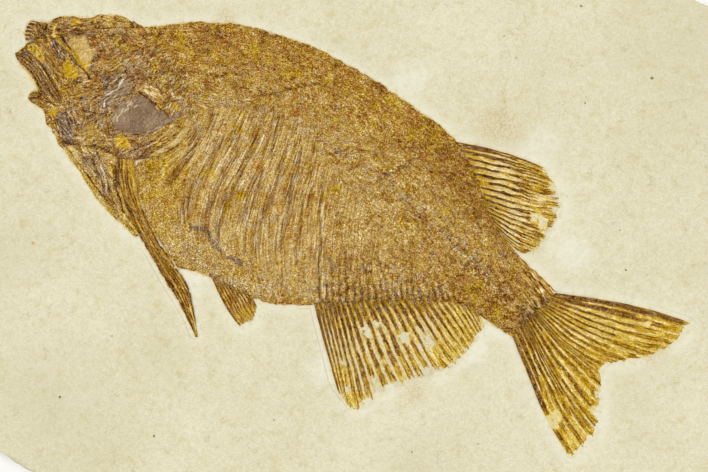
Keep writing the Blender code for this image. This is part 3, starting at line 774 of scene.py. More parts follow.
# Broad changes of colour over the body: outline, then its marks.
BROAD_PATCHES = table("""
    -106,112 -60,112 0,90 66,36 58,20 0,66 -60,86 -100,80 | rust .6 grey .04 tone .57 gold .3
    -92,62 -27,66 -10,30 -18,-24 -60,-14 -96,22 -98,40 | \
        grey .28 rust .14 tone .66 gold .2 lined .26 grain .72
    -24,50 24,34 22,-8 -14,-20 | grey .18 tone .62 rust .16 lined .22
    -98,10 -60,0 -14,-14 -14,-36 -60,-34 -94,-12 | grey .28 tone .66 rust .08 gold .24
    44,-20 80,-14 104,-28 80,-54 50,-36 | grey .06 rust .54 tone .54
    -110,46 -88,46 -84,26 -96,-4 -112,20 | gold .42 tone .6 grey .12
    30,66 50,52 62,34 72,10 62,8 48,30 28,50 | rust .8 tone .53 gold .34
""")
for outline, values in BROAD_PATCHES:
    lay(marks, trunk_top, patch(loose_plan, outline, BROAD_FADE), **values)
# The narrow end before the tail is darker, with a dark middle.
WRIST_PATCHES = table("""
    80,-26 92,-24 104,-26 104,-38 88,-54 76,-54 | tone .5 rust .36 grey .14
    86,-36 97,-32 97,-40 86,-50 80,-50 | tone .4 grey .55 rust .1
""")
for outline, values in WRIST_PATCHES:
    lay(marks, trunk_top, patch(loose_plan, outline, WRIST_FADE), **values)

# Ribs, each a band of fine splinters: its line, its width and its marks.
RIBS = table("""
    -78,54 -81,43 -91,28 | 4.6 | tone .47 grey .6
    -67,48 -77,28 -82,20 -86,8 | 4.6 | tone .47 grey .55
    -54.5,58 -61,40 -72,15 -76,2 | 5 | tone .47 grey .55
    -49,47 -58,30 -66,14 -69,0 | 4.2 | tone .48 grey .6
    -39.5,58 -42,43 -50,24 -56,6 | 4.2 | tone .5 grey .55
    -35,38 -40,23 -46,8 -49,-6 | 3.8 | tone .47 grey .6
    -28.5,46 -28,32 -34,12 -38,-6 | 3 | tone .46 grey .6
    -20,44 -22,26 -27,6 -29,-14 | 2.2 | tone .44 grey .4
    -73,66 -70,58 -73,46 | 3 | tone .4 grey .5
    -16.5,31 -15.5,10 -16,-17 -15,-31 | 1.5 | tone .6 grey .85
    -18,30 -17.2,8 -17.5,-20 | .6 | tone .25 grey .5
    -28.5,30.5 -32,23 -39.5,5.5 | 1.1 | tone .66 grey .7
    -52,8 -54,-1 | 1.2 | tone .7 grey .6
    -60,46 -66,30 -72,18 | .9 | tone .74 grey .5
    -45,52 -50,34 -58,12 | .9 | tone .72 grey .5
    -71,46 -79,28 -85,12 | .8 | tone .74 grey .5
""")
for line, width, values in RIBS:
    lay(marks, trunk_top, stroke(true_plan, line, width, 1.6) * 0.56, 0.28, **values)
    lay(marks, trunk_top, stroke(true_plan, line, width + 1.2, 2.0), lined=0.42, grain=0.60)
marks["lined"] = np.maximum(marks["lined"], 0.16)

# Spines under the backbone, which carry the anal fin's rays.
UNDER_SPINES = 21
chance = np.random.default_rng(57)
for k in range(UNDER_SPINES):
    share = k / (UNDER_SPINES - 1)
    foot = np.array([-17 + 70 * share, -33.5 - 3 * share ** 2])
    lean = 1.0 + 5 * share
    reach = 26 - 10 * share + chance.uniform(-5, 4)
    middle = foot + np.array([-lean * 0.45, reach * 0.45])
    head = foot + np.array([-lean, reach])
    lay(marks, trunk_top, stroke(loose_plan, [foot, middle], 1.3, 0.7) * 0.85, 0.2, tone=0.18, grey=0.45)
    mask = stroke(loose_plan, [middle, head], 1.0, 0.9) * chance.uniform(0.35, 0.7)
    lay(marks, trunk_top, mask, 0.1, tone=0.28, grey=0.7)
    beside = [foot + (1.7, 0), middle + (1.6, 0), head + (1.4, 0)]
    mask = stroke(loose_plan, beside, 0.8, 0.8) * chance.uniform(0.3, 0.7)
    lay(marks, trunk_top, mask, tone=0.74, grey=0.3)
# Spines that carry the dorsal fin's rays, lying nearly along the body.
OVER_SPINES = 15
for k in range(OVER_SPINES):
    share = k / (OVER_SPINES - 1)
    root = np.array([53.0, 44.5]) * (1 - share) + np.array([77.0, -2.0]) * share
    tip = root + np.array([-20 + 6 * share, 2.5 + 4 * share])
    mask = stroke(loose_plan, [root, (root + tip) / 2 + (0, 0.6), tip], 1.1, 0.9)
    lay(marks, trunk_top, mask * 0.6, 0.14, tone=0.24, rust=0.45)
    mask = stroke(loose_plan, [tip, tip + (-14, 2.0)], 0.9, 1.0)
    lay(marks, trunk_top, mask * 0.35, 0.06, tone=0.32)

# The backbone, with its beads, and the dark trace of the gut.
BACKBONE = [(-82, 70), (-66, 68), (-44.5, 62), (-24, 54), (-3, 39), (19.5, 23), (41, 5.5),
            (58, -11), (69, -23.5), (90, -37.5)]
lay(marks, trunk_top, stroke(loose_plan, BACKBONE, 5.0, 3.0), 0.3, grey=0.34)
BEADS = 420
for _ in range(BEADS):
    share = chance.uniform(0, 1) ** 0.8
    on_line = spline(BACKBONE[4:], [share * (len(BACKBONE) - 5)])[0]
    centre = on_line + chance.normal(0, 1, 2) * (3.4 - 1.2 * share)
    strength = (0.35 + 0.65 * soft(on_line[0], 5, 26)) * chance.uniform(0.4, 1.0)
    near = (np.abs(trunk_plan - centre) < 2.5).all(axis=-1)
    tone, rise = ((0.76, 0.10), (0.20, -0.1))[chance.integers(2)]
    mask = spot(trunk_plan[near], centre, chance.uniform(0.35, 0.8), 0.6) * strength
    lay(marks, trunk_top, mask, rise, near, tone=tone, grey=0.5)
GUT = [[(-82, 5), (-78.5, 4), (-74.5, 3), (-71, -2), (-67, -7)], [(-63, -11), (-60, -12), (-57, -14)]]
for line in GUT:
    lay(marks, trunk_top, stroke(loose_plan, line, 2.2, 1.4) * 0.8, 0.15, tone=0.28, grey=0.95, rust=0.0)

# Blotches of rust and gold, each a place, a size and its marks, and then dark seams.
BLOTCHES = table("""
    -48,35 | 3.5 | rust .85
    -27,63 | 4 | rust .8
    60,-27 | 4.5 | gold .9
    -37,-32 | 4 | rust .7
    43,44 | 4.5 | rust .9 tone .36
    40,48 | 3.5 | gold .9
    -74,100 | 4.5 | rust .75 tone .38
    -62,101 | 3.5 | rust .8
    -44,100 | 3 | rust .65 tone .36
    -2,78 | 4 | rust .8
    13,74 | 3.5 | rust .8 tone .36
    20,66 | 3 | gold .8
    30,52 | 3.5 | gold .75
    36,42 | 4 | rust .7
    -86,98 | 3.5 | gold .6
    -90,88 | 3 | gold .5
    -55,82 | 3 | rust .6
    -30,80 | 3.5 | gold .6
    5,52 | 3.5 | gold .6
    70,-37 | 3.2 | gold .95
    66,-28 | 3 | rust .7
    -92,41.5 | 1.8 | rust .9
    26,-28 | 3 | rust .6
    24,6 | 2.6 | gold .85
    -68,100 | 2.6 | tone .28
    -100,34 | 4 | gold .7
""")
broken = 0.3 + 0.7 * soft(cloud(trunk_plan, 2.6, 56, 2), -0.4, 0.25)
for (centre,), radius, values in BLOTCHES:
    lay(marks, trunk_top, spot(ragged(loose_plan, 1.5), centre, radius, radius * 1.3) * broken, **values)
LOOSE_BLOTCHES = 110
for _ in range(LOOSE_BLOTCHES):
    centre = np.array([chance.uniform(-100, 66), chance.uniform(10, 112)])
    key = ("rust", "gold")[chance.integers(2)]
    radius = chance.uniform(0.8, 2.6)
    near = (np.abs(loose_plan - centre) < 2.5 * radius + 1).all(axis=-1)
    if near.any():
        mask = spot(ragged(loose_plan[near], 1.2), centre, radius, radius * 1.2)
        mask *= chance.uniform(0.4, 0.9)
        lay(marks, trunk_top, mask, 0.0, near, tone=chance.uniform(0.36, 0.66), **{key: 0.95})
SEAMS = table("""
    -95,83 -80,82 -66,80 -52,82 | 1.2
    -47,70 -38,71 -27,74 -18,77 | 1.2
    -98,76 -84,79 | 1
    -74,86 -60,84 -50,88 | 1
    -12,41 0,44 10,40 | .9
    20,32 34,41 44,40 | .9
    4,50 22,44 42,46 | .8
    12,28 30,36 46,30 | .8
    72,-8 84,-18 100,-28 | .8
    74,-16 86,-25 98,-33 | .8
    -104,92 -96,88 -90,80 | .9
    -84,100 -80,95 -77,93 | .9
""")
for line, width in SEAMS:
    lay(marks, trunk_top, stroke(loose_plan, line, width, 1.0) * 0.7, -0.08, tone=0.22, grey=0.4)


def lie_on_trunk(at_x, at_y):
    """Splinters follow the ribs in front, and the length of the fish behind and along the back."""
    ahead = soft(-at_x, -10, 40) * soft(60 - at_y, -10, 20)
    return ahead * np.radians(66) + (1 - ahead) * np.radians(-24)


flecks(trunk_plan, marks, trunk_top, TRUNK_SPLINTERS, 51, 6.0, 0.6, lie_on_trunk,
       [("tone", -0.22), ("tone", 0.20), ("tone", -0.18), ("grey", 0.3), ("rust", 0.3), ("gold", 0.3)],
       0.06)
grit = cloud(trunk_plan, 1.6, 52, 2)
trunk_top += 0.07 * grit + 0.07 * cloud(trunk_plan, 6, 53, 2)
marks["tone"] += 0.03 * grit + 0.04 * cloud(trunk_plan, 14, 54, 2)
# The outline frays into the stone.
fray = rim_room + 0.9 * cloud(trunk_plan, 2.0, 55, 2)
sides = np.minimum(soft(trunk_plan[..., 0], -98, -90) + soft(trunk_plan[..., 1], 92, 100), 1)
marks["tone"] -= 0.10 * (1 - soft(fray, 0.5, 3.0)) * sides
back_edge = soft(trunk_plan[..., 1] + 0.5 * trunk_plan[..., 0], 62, 66)
marks["stone"] = 0.5 * (1 - soft(fray, -0.4, 0.5)) * sides * back_edge
marks["gold"] += 0.3 * (1 - soft(fray, 0.0, 1.2)) * sides
# Splinters run with the ribs in front and over the spines, and with the body everywhere else.
ribbed = patch(loose_plan, [(-98, 60), (-27, 68), (-8, 30), (22, -8), (58, -30), (40, -44), (-110, -44),
                            (-112, 20)], 0.1) > 0.5
marks["fibre"] = np.where(ribbed[..., None], fibres(across * 1.55, down * 0.10),
                          fibres(down * 1.4 + 40, across * 0.34))
wrist = soft(trunk_plan[..., 0], 80, 94)
marks["lined"] = np.maximum(marks["lined"], 0.9 * wrist)
marks["grain"] = marks["grain"] * (1 - 0.45 * wrist)
bone("trunk_bone_film", trunk_plan, trunk_top, marks, bone_finish("scaled_bone_film", 0.30, 0.07),
     "trunk")


# ---- The skull ------------------------------------------------------------------------------
# The crushed head: the roof, the snout and the cheek as thin broken plates with the eye's hollow
# between them, stained in ochre, grey and gold. It lies in one film with the trunk.

SKULL_COLUMNS = 284
SKULL_ROWS = 240
SKULL_RISE = 1.7
SKULL_SHOULDER = 5.0
SKULL_SPLINTERS = 2600
SKULL_ROOF = [
    (-154, 105), (-150, 108.5), (-144.5, 109.5), (-134.5, 109), (-124.5, 110.5), (-117, 110),
    (-111, 107), (-107, 105), (-102, 104.5),
]
SKULL_FRONT = [
    (-154, 105), (-155.5, 102), (-157, 99), (-160, 97.5), (-163.5, 96), (-167, 93), (-169.5, 90),
    (-165, 84), (-160.5, 78), (-158.5, 73.5), (-162, 71.5), (-163, 69), (-160, 66),
    (-155.5, 63.5), (-154, 58), (-150.5, 52.5), (-146, 44),
]
THROAT = [(-146, 44), (-134.5, 43.5), (-125, 41.5), (-118, 38), (-107, 38.3), (-97, 40.5)]
skull_back = GILL_SLIT_UPPER + GILL_SLIT_LOWER[1:-1]
skull_drawn = filled_frame(spread(SKULL_ROOF, SKULL_COLUMNS), spread(THROAT, SKULL_COLUMNS),
                           spread(SKULL_FRONT, SKULL_ROWS), spread(skull_back, SKULL_ROWS))
skull_plan = ragged(skull_drawn)
loose_plan = ragged(skull_plan, 0.7)
skull_room = rim_gap(skull_plan)
shoulder = 1 - np.exp(-skull_room / SKULL_SHOULDER)
skull_top = stone_level(skull_plan) + MARGIN_RISE + SKULL_RISE * shoulder
skull_top += 0.14 * cloud(skull_plan, 9, 61, 2)
marks = plain_marks(skull_plan, 0.49, 0.30, 0.26, 0.14, 0.74, 0.32)
# The head broke into plates, each with its splinters running its own way: middle, and degrees.
SKULL_PLATES = [
    (-154.5, 106, 8), (-134.5, 105.5, 2), (-117, 103, -14), (-154.5, 90.5, -58), (-147, 75.5, -60),
    (-127, 95.5, -50), (-122, 86, 24), (-133, 73, 8), (-119.5, 75.5, 38), (-107, 88, 46),
    (-94.5, 95, 24), (-97, 79, 56), (-102, 71, -35), (-142, 58, -52), (-129.5, 58, 72),
    (-127, 48, 8), (-112, 47, 24), (-94.5, 50.5, 40), (-86, 64, 62), (-138, 90, -58),
    (-110, 99, -30), (-150, 62, 20), (-103, 60, 48),
]


def plate_grain(plan, plates):
    """Fibre coordinates for a bone broken into plates, and 1 along the cracks between them."""
    middles = np.array(plates)[:, :2]
    gaps = np.linalg.norm(ragged(plan, 2.2)[..., None, :] - middles, axis=-1)
    order = np.argsort(gaps, axis=-1)
    way = np.radians(np.array(plates)[:, 2])[order[..., 0]]
    x, y = plan[..., 0], plan[..., 1]
    along = x * np.cos(way) + y * np.sin(way)
    over = y * np.cos(way) - x * np.sin(way)
    near = np.take_along_axis(gaps, order[..., :2], axis=-1)
    cracks = 1 - soft(near[..., 1] - near[..., 0], 0.2, 1.0)
    return np.stack([over * 1.6, along * 0.38, order[..., 0] * 9.0], axis=-1), cracks, order[..., 0]


skull_grain, cracks, plate_number = plate_grain(skull_plan, SKULL_PLATES)
chance = np.random.default_rng(65)
for key, swing_by in (("tone", 0.04), ("grey", 0.12), ("rust", 0.10), ("gold", 0.09)):
    marks[key] += chance.normal(0, swing_by, len(SKULL_PLATES))[plate_number]
lay(marks, skull_top, cracks * 0.35, -0.10, tone=0.22)
# Plates and stains: outline, marks and rise.
HEAD_PATCHES = table("""
    -146.5,107.5 -131,108 -130,104 -145,103.5 | tone .53 grey .42 rust .3 lined .4 grain .5 | .25
    -142,102.5 -131,102.5 -130.5,100.5 -141,100 | tone .3 grey .7 lined .3 grain .3 | .1
    -140.5,108.5 -137,108 -137,105 -140.5,105.5 | tone .66 gold .7 rust .9 grey -.2 grain .3 | .1
    -130,109.5 -125,111 -120.5,110 -118.5,105 -127,104 | tone .6 grey .42 grain .6 | .1
    -119,107 -112,107 -111.5,105 -118,104 | tone .66 gold .5 | .1
    -117.5,101.5 -113,100.5 -111.5,98.5 -114.5,97 -117.5,99 | tone .36 grey .95 grain .5 | 0
    -157,98 -147,100 -144,88 -146,78 -154.5,80.5 -160,88 | tone .38 grey .28 grain .5 | .1
    -151.5,98 -148.5,98.5 -144.5,90 -145.5,88 -149,91 -151,94.5 | \
        tone .46 grey 1 rust 0 lined .7 grain .35 | .15
    -160.5,87 -153.5,87 -151,81.5 -154,78 -159,80 | tone .44 grey .7 gold .1 grain .35 lined .2 | 0
    -163,96.5 -160,94.5 -156.5,90.5 -159,90 -163,93 | tone .58 gold .95 grain .9 | .1
    -159,90 -156,89.5 -156,87 -159,87 | tone .52 gold .8 grain .3 | 0
    -155,90 -151.5,89 -152,86.5 -154.5,87 | tone .48 rust 1.2 gold .3 grain .5 | 0
    -159,101 -156,100.5 -156,97.5 -158.5,97.5 | tone .66 gold .5 grain .4 | 0
    -142,100 -134,100.5 -133,96 -131,92 -130.5,89 -131.5,87 -132.5,84 -133.5,82.5 -137,87 -140,91.5 \
        -142.5,95.5 | tone .75 grey .36 gold .28 rust -1 grain .34 lined .06 | -.45
    -142,100 -134,100.5 -133.5,99 -141,98.5 | tone .58 gold .4 grain .4 | -.1
    -137,87 -133,86 -132.5,81.5 -135,83.5 | tone .66 gold 1 grain .3 lined .1 | .1
    -145,85.5 -142,88 -140.5,85 -139,83 -137.5,79.5 -139.5,78 -143,79 -145,81 | \
        tone .62 gold 1.3 rust -.2 grey -.3 grain .2 lined .1 | .1
    -145,85 -143,86 -142.5,79 -145,81 | tone .58 rust .75 gold .8 | 0
    -137.5,85 -133,80 -135.5,78 -138,81 | tone .7 grey .4 grain .4 | 0
    -127,65 -128,68.5 -124,71.5 -120,74.5 -117,78.5 -114,78 -113,75 -116,70 -121,66.5 -124.5,63 | \
        tone .52 grey 1.1 rust -.2 gold -.2 grain .5 lined .4 | .2
    -118,75.5 -112.5,77 -112,74 -114,70.5 -117.5,70 | \
        tone .46 grey 1.1 gold -.2 rust -.2 grain .18 lined .25 | .1
    -137,70 -133.5,70.5 -132.5,67 -136,66 | tone .42 grey 1.2 gold -.3 rust -.3 grain .6 | 0
    -148.5,61 -145.5,62 -142,58 -139.5,52.5 -140,47.5 -143,46.5 -146,51.5 -148,57 | \
        tone .43 grey 1.2 rust -.2 gold -.3 grain .4 lined .4 | .15
    -152,63 -148,63 -148.5,59.5 -151.5,59 | tone .56 gold .8 rust .7 grain .2 lined .1 | 0
    -163,70 -160.5,72 -157.5,71 -155,67.5 -157.5,65.5 -161,65.5 | tone .24 rust .4 | .3
    -139,54 -128,56 -125,51 -128,45 -137,45 -140,48 | tone .56 grey .4 gold .3 grain .5 | 0
    -119.5,47.5 -116,50.5 -113,48.5 -111,44.5 -113.5,44 -118,45 | \
        tone .66 gold 1.2 rust .25 grey -.3 grain .2 lined .1 | .1
    -113.5,48 -112.5,47.5 -111,44.5 -112,44 | tone .9 gold .4 grain .4 | .1
    -107.5,73 -104.5,75 -99.5,74.5 -97,72 -96.5,69.5 -100,69.5 -103.5,71 | \
        tone .82 gold .3 grey .35 grain .4 lined .55 | .2
    -99.5,70.5 -96.5,69.5 -97,67 -99,67.5 | tone .52 rust .5 gold .5 grain .3 | .1
    -91.5,66 -89,66.5 -86.5,63 -89,62.5 | tone .62 gold 1.1 rust .3 grain .3 | 0
    -87.5,66.5 -85,66.5 -85,63.5 -86.5,63.5 | tone .44 grey .9 grain .3 | 0
    -102,51 -96.5,53.5 -90.5,57 -86,60 -83,58 -87,51 -93,46 -99,44 | \
        tone .5 gold .3 grey .22 rust .2 grain .7 lined .25 | 0
    -110,92 -98,98 -88,84 -84,72 -96,74 -107,82 | tone .47 grey .42 | 0
    -104,52 -97,56 -92,59.5 -87,62.5 -86,60.5 -90.5,57 -96.5,53.5 -102,51 | \
        tone .46 grey 1 gold -.2 rust -.2 grain .25 lined .3 | .1
""")
for outline, values, rise in HEAD_PATCHES:
    lay(marks, skull_top, patch(loose_plan, outline, 0.9), rise, **values)
# Edges, cracks and narrow bones, with painted glints as the near-white grey strokes (tone .86 and over, grey
# .7 and over): line, width, marks and rise.
HEAD_LINES = table("""
    -169,90 -166,86.5 -163,82 -160.5,78 | .6 | tone .8 gold .6 | .05
    -146,85 -145.5,88 -144,89.5 | .6 | tone .1 | -.1
    -139,86.5 -135.5,83.5 -132,79 | .6 | tone .08 grey .3 | -.1
    -133,79.5 -132,78.5 | 1.3 | tone .04 grey .5 | -.1
    -134.5,80 -133,78.5 -134,77 | .5 | tone .9 grey .5 | .1
    -144,78.5 -143,76.5 -140,75.5 | .5 | tone .84 grey .3 | .1
    -142,70.5 -137,70 -134,71.5 | .8 | tone .46 gold .9 | 0
    -129,69.5 -131.5,67 -135,64 | .5 | tone .2 | -.1
    -127,62 -131,59 -134,59 | .5 | tone .16 grey .2 | -.1
    -139,63 -135,61.5 -130.5,61 | .5 | tone .76 grey .3 | .1
    -140,59 -139,56 -137,52.5 | .6 | tone .2 rust .6 | 0
    -125,86 -121,88 -117,87 | .8 | tone .62 gold .9 | 0
    -131,98 -128.5,96 -129,93 | .8 | tone .4 rust .9 | 0
    -127,99 -124,101 -120,100 | .6 | tone .26 rust .3 | -.1
    -126,103 -121,102.5 -115,103 | .5 | tone .78 gold .4 | .1
    -121,83 -117,85 -112,88 -107,90 | .6 | tone .74 grey .3 | .1
    -122,81 -117,83.5 -111,87 | .5 | tone .2 grey .3 | -.1
    -102,86 -103,82 -104,78 | .6 | tone .84 grey .2 | .1
    -101,87 -99.5,83 -101,80 | 1.6 | tone .52 gold 1 rust .4 | 0
    -97,81 -92,82 -87,84 | .5 | tone .22 | -.1
    -95,76 -91,75 -88,72 | .5 | tone .24 | -.1
    -122,70 -125,68 -126,65 | .5 | tone .2 grey .6 | -.1
    -154.5,104 -153.5,106.5 -151.5,108 -149,108.5 -146.5,109.5 | 1 | tone .14 rust .2 | .25
    -148,106 -149.5,103 -150,100.5 -148,98 -145.5,95 | 1.2 | tone .8 gold .9 grain .3 | .1
    -148.5,99.5 -147,98 -145.5,95.5 | 1.3 | tone .56 gold 1.3 rust .1 grain .3 | 0
    -143.5,95 -141,92 -138.5,89 -137,86.5 | 1.5 | tone .54 gold 1.3 rust -.2 grain .2 | .15
    -148,103 -145.5,99 -143.5,96 -141.5,93 | 1.2 | tone .2 grey .6 rust .3 | .35
    -142,90 -140.5,88 -138.5,86 | .7 | tone .04 grey .7 | .2
    -141,90.5 -139.5,88.5 -138,87 | .4 | tone .1 grey .7 | .2
    -137.5,85 -135,82.5 -132.5,79.5 | .6 | tone .06 grey .4 | -.1
    -147.5,91.5 -146,89.5 -144.5,87 | .9 | tone .06 grey .4 | -.1
    -145,87 -145.5,83 -145,79 | .5 | tone .2 | -.1
    -144,78.5 -139.5,77 -135,76.5 | .6 | tone .16 rust .3 | -.1
    -149.5,94 -147.5,92 | .5 | tone .12 | -.1
    -131,106.5 -129.5,105 -130,102 | .9 | tone .1 grey .5 | 0
    -131,100.5 -129,99 -127.5,96 -128,94.5 -130.5,95.5 | .9 | tone .34 rust .8 | .1
    -146,105.5 -139.5,105 -131.5,105.5 | .5 | tone .18 grey .6 | -.1
    -144,103.5 -137,103 -127,103.5 -117,104 | .6 | tone .18 | -.1
    -125,111 -125.5,109.5 | 1 | tone .16 | 0
    -120.5,110.5 -119,108 | 1 | tone .16 | 0
    -111.5,107.5 -110,104.5 | 1.3 | tone .06 | .2
    -166,93 -164,96 -161,97 -159,98 | 1.2 | tone .12 grey .2 | .1
    -162,94.5 -160,92 -157,90 | .9 | tone .14 rust .2 | 0
    -160,96 -158,93 -155.5,90.5 | .7 | tone .8 gold .9 | 0
    -159,103 -158,101 -156,101.5 -154,99.5 -153.5,97 | .7 | tone .12 | .1
    -153,101 -152,98 | .6 | tone .86 gold .3 | 0
    -151,83 -148,80 -147,76 | .6 | tone .16 | -.1
    -155,79 -153,75 -150,72 | .5 | tone .14 grey .4 | -.1
    -152,66 -149,64.5 -145.5,65 | .8 | tone .92 gold .3 | .1
    -150.5,72 -148.5,69 -148,66 | .7 | tone .78 grey .4 | 0
    -125,64.5 -124,67.5 -122.5,69 | .9 | tone .98 grey .9 | .1
    -123.5,70.5 -121,71.5 -118,73 | .9 | tone .98 grey .9 | .1
    -117.5,73.5 -116,76 -114.5,78 | .8 | tone .98 grey .9 | .1
    -128,64 -125,62.5 | .6 | tone .86 grey .8 | .1
    -130.5,92.5 -129,93.5 | 1.6 | tone .98 grey .9 | .1
    -130,90.5 -128.5,91.5 | .8 | tone .9 grey .7 | .1
    -122,76 -118.5,78.5 -115,81 | .6 | tone .8 grey .4 | .1
    -121,74.5 -117,78 -113,82 | .5 | tone .16 grey .4 | 0
    -113,71 -110.5,75.5 -108.5,79 | .6 | tone .78 grey .6 | .1
    -112,69.5 -109.5,74 -107,78 | .5 | tone .18 grey .5 | 0
    -122,59 -118,63.5 -113.5,68 -111,71 | .8 | tone .7 gold .5 grey .2 | .1
    -123,59.5 -119.5,63 -115,67 | .5 | tone .16 grey .4 | -.1
    -107,72 -104,69.5 -101.5,67.5 -100.5,65 -98.5,62 | .9 | tone .04 grey .3 rust .3 | -.25
    -102,67.5 -100.5,65 -99,62.5 | 1 | tone .04 rust .4 | -.3
    -100.5,66.5 -98,65 -95,62.5 | 1.2 | tone .04 rust .3 | -.3
    -98.5,65.5 -95.5,63.5 | .7 | tone .66 gold .7 | .1
    -95.5,62.5 -93.5,61 -92.5,58.5 | .7 | tone .1 | -.1
    -102,78 -98,74 -94,70 | .7 | tone .8 gold .4 | .1
    -103,79.5 -98.5,75 -95,71 | .5 | tone .18 | -.1
    -96,66 -91,67 -87,68.5 | .5 | tone .22 | -.1
    -91,73 -90,70 | .9 | tone .96 grey .4 | .1
    -106,43.5 -102,45 -97,48.5 -93,52.5 -90.5,55 | .8 | tone .9 grey .45 grain .4 | .2
    -110,42.5 -106,44.5 -101,47.5 -96,51.5 | .5 | tone .2 grey .5 | -.1
    -101,39 -97,41.5 -93,44 -88,48 -84.5,53 -82,56.5 | 3.6 | \
        tone .78 grey .42 gold .35 rust -.3 grain .35 lined .12 | .3
    -97,42 -95,43 | 1.2 | tone .93 grey .8 | .1
    -90.5,45.5 -88.5,46.5 | 1.2 | tone .93 grey .8 | .1
    -103,40 -98,43 -93,45.5 -89,49 -85.5,54 | .4 | tone .26 grey .6 | -.1
    -100,38 -94,41.5 -89,44.5 | .5 | tone .22 rust .3 | -.15
    -80.5,56 -82.5,51 -86,46.5 -90,43 -97,39.5 | .7 | tone .16 | -.2
    -104,49 -100,51.5 -94.5,54 | .5 | tone .84 gold .4 | .1
    -102,46.5 -99,48.5 | .7 | tone .1 rust .3 | -.1
    -110.5,51.5 -108.5,49.5 -106,46.5 | .6 | tone .78 grey .4 | .1
    -111,48 -108,45.5 | .6 | tone .14 | -.1
    -121,58.5 -122.5,55.5 -122.5,51.5 -120.5,49.5 | .7 | tone .18 grey .4 | -.1
    -125,50 -123,47 -121,45.5 | .6 | tone .86 gold .4 | .1
    -145.5,47 -141,46 -135.5,44.5 -130,45 -124.5,43 -119.5,40 -116,37.5 -111,37 | 1.4 | \
        tone .12 rust .7 grain .5 | -.25
    -127,42 -123,40.5 -120,38 | .7 | tone .82 gold .6 | .1
    -148,58 -145,51.5 -142,47.5 | .5 | tone .12 grey .4 | .1
    -144,61.5 -141,57 -138.5,52 | .6 | tone .14 rust .3 | -.1
    -152,59 -149,53 -145,47 | .7 | tone .16 | .1
    -129,61 -135,63 -141,62 | .6 | tone .22 rust .4 | .1
    -128,72 -132,74 -137,74 | .6 | tone .24 rust .4 | .1
""")
for line, width, values, rise in HEAD_LINES:
    lay(marks, skull_top, stroke(loose_plan, line, width, 0.5), rise, **values)
HEAD_SPOTS = table("""
    -108,81.5 | 1.3 | rust 1 tone .3
    -104.5,78 | 1.6 | rust 1 tone .32
    -139.5,107 | 1.6 | gold .8 rust .5
    -149,92 | 1.5 | rust .9
    -159.5,93.5 | 1.8 | gold .8 tone .6
    -158,91 | 1.2 | tone .85
    -134,60 | 2.5 | rust .6
    -116,36 | 2 | rust .8
    -145,73 | 1.6 | gold .7
    -101,77 | 2 | gold .5
    -98,86 | 2.5 | gold .5
    -112,92 | 3 | gold .45
    -125,88 | 3.5 | rust .5
    -118,84 | 3 | gold .35
""")
for (centre,), radius, values in HEAD_SPOTS:
    lay(marks, skull_top, spot(loose_plan, centre, radius, radius * 0.9), 0.05, **values)


def lie_on_skull(at_x, at_y):
    """Splinters run down the snout, and up and back over the cheek."""
    snout = soft(-at_x, 140, 152)
    return snout * np.radians(-55) + (1 - snout) * np.radians(28)


flecks(skull_plan, marks, skull_top, SKULL_SPLINTERS, 62, 4.0, 0.36, lie_on_skull,
       [("tone", -0.36), ("tone", 0.34), ("tone", -0.25), ("grey", 0.4), ("rust", 0.35), ("gold", 0.35)],
       0.05)
grit = cloud(skull_plan, 1.0, 63, 2)
skull_top += 0.05 * grit
marks["tone"] += 0.04 * grit


def thin_out(marks, room, plan, seed, gilt, open_side):
    """A bone's outline on its open side: gold stained for a way in, then thinning to bare stone."""
    fray = room + 0.6 * cloud(plan, 1.4, seed, 2)
    marks["gold"] += 0.5 * (1 - soft(fray, *gilt)) * open_side
    marks["stone"] = 0.45 * (1 - soft(fray, -0.4, 0.4)) * open_side


open_side = np.maximum(soft(-skull_plan[..., 0], 138, 146), soft(skull_plan[..., 1], 96, 102))
thin_out(marks, skull_room, skull_plan, 64, (0.2, 1.4), open_side)
marks["fibre"] = skull_grain
bone("skull_plates", skull_plan, skull_top, marks, bone_finish("crushed_skull_bone", 0.30, 0.08),
     "skull")


# ---- The upper jaw --------------------------------------------------------------------------
# The small front bone of the snout with its row of peg teeth, which still point forward out of
# the open mouth. Dark enamel, with stained stone between the teeth.

TOOTH_ROOTS = [(-153.4, 106.3), (-154.8, 103), (-156.1, 100.4), (-158.4, 98.9)]
TOOTH_TIPS = [(-162, 107.6), (-164, 104.8), (-164.8, 101.5), (-164.5, 98.0)]
TEETH = 6
TOOTH_COLUMNS = 90
TOOTH_ROWS = 60


def strip(first, second, columns, rows):
    """A grid in plan from one drawn line across to another."""
    share = np.linspace(0, 1, rows)[None, :, None]
    return spread(first, columns)[:, None] * (1 - share) + spread(second, columns)[:, None] * share


def shares(columns, rows):
    """How far each point of a strip lies along it and across it, from 0 to 1."""
    return np.meshgrid(np.linspace(0, 1, columns), np.linspace(0, 1, rows), indexing="ij")


jaw_plan = strip(TOOTH_ROOTS, TOOTH_TIPS, TOOTH_COLUMNS, TOOTH_ROWS)
down_row, out = shares(TOOTH_COLUMNS, TOOTH_ROWS)
tooth_place = (down_row * 0.86 + 0.10) * TEETH
in_tooth = soft(0.34 - np.abs(tooth_place % 1 - 0.5), -0.06, 0.12) * soft(tooth_place, 0.4, 0.6)
toothed = soft(out, 0.52, 0.60)
marks = plain_marks(jaw_plan, 0.34, 0.35, 0.2, 0.1, 0.6)
jaw_top = FACE + 1.5 + 0.25 * cloud(jaw_plan, 2.0, 71, 2) - 0.7 * toothed
lay(marks, jaw_top, toothed, 0.0, tone=0.86, gold=0.35, grey=0.1)
lay(marks, jaw_top, toothed * in_tooth * soft(0.98 - out, 0, 0.08), 0.75, tone=0.06, gold=0.0, grey=0.3)
lay(marks, jaw_top, soft(out, 0.86, 0.98), -0.5, stone=0.55)
lay(marks, jaw_top, spot(jaw_plan, (-156.5, 104), 1.6, 1.5), 0.2, tone=0.16)
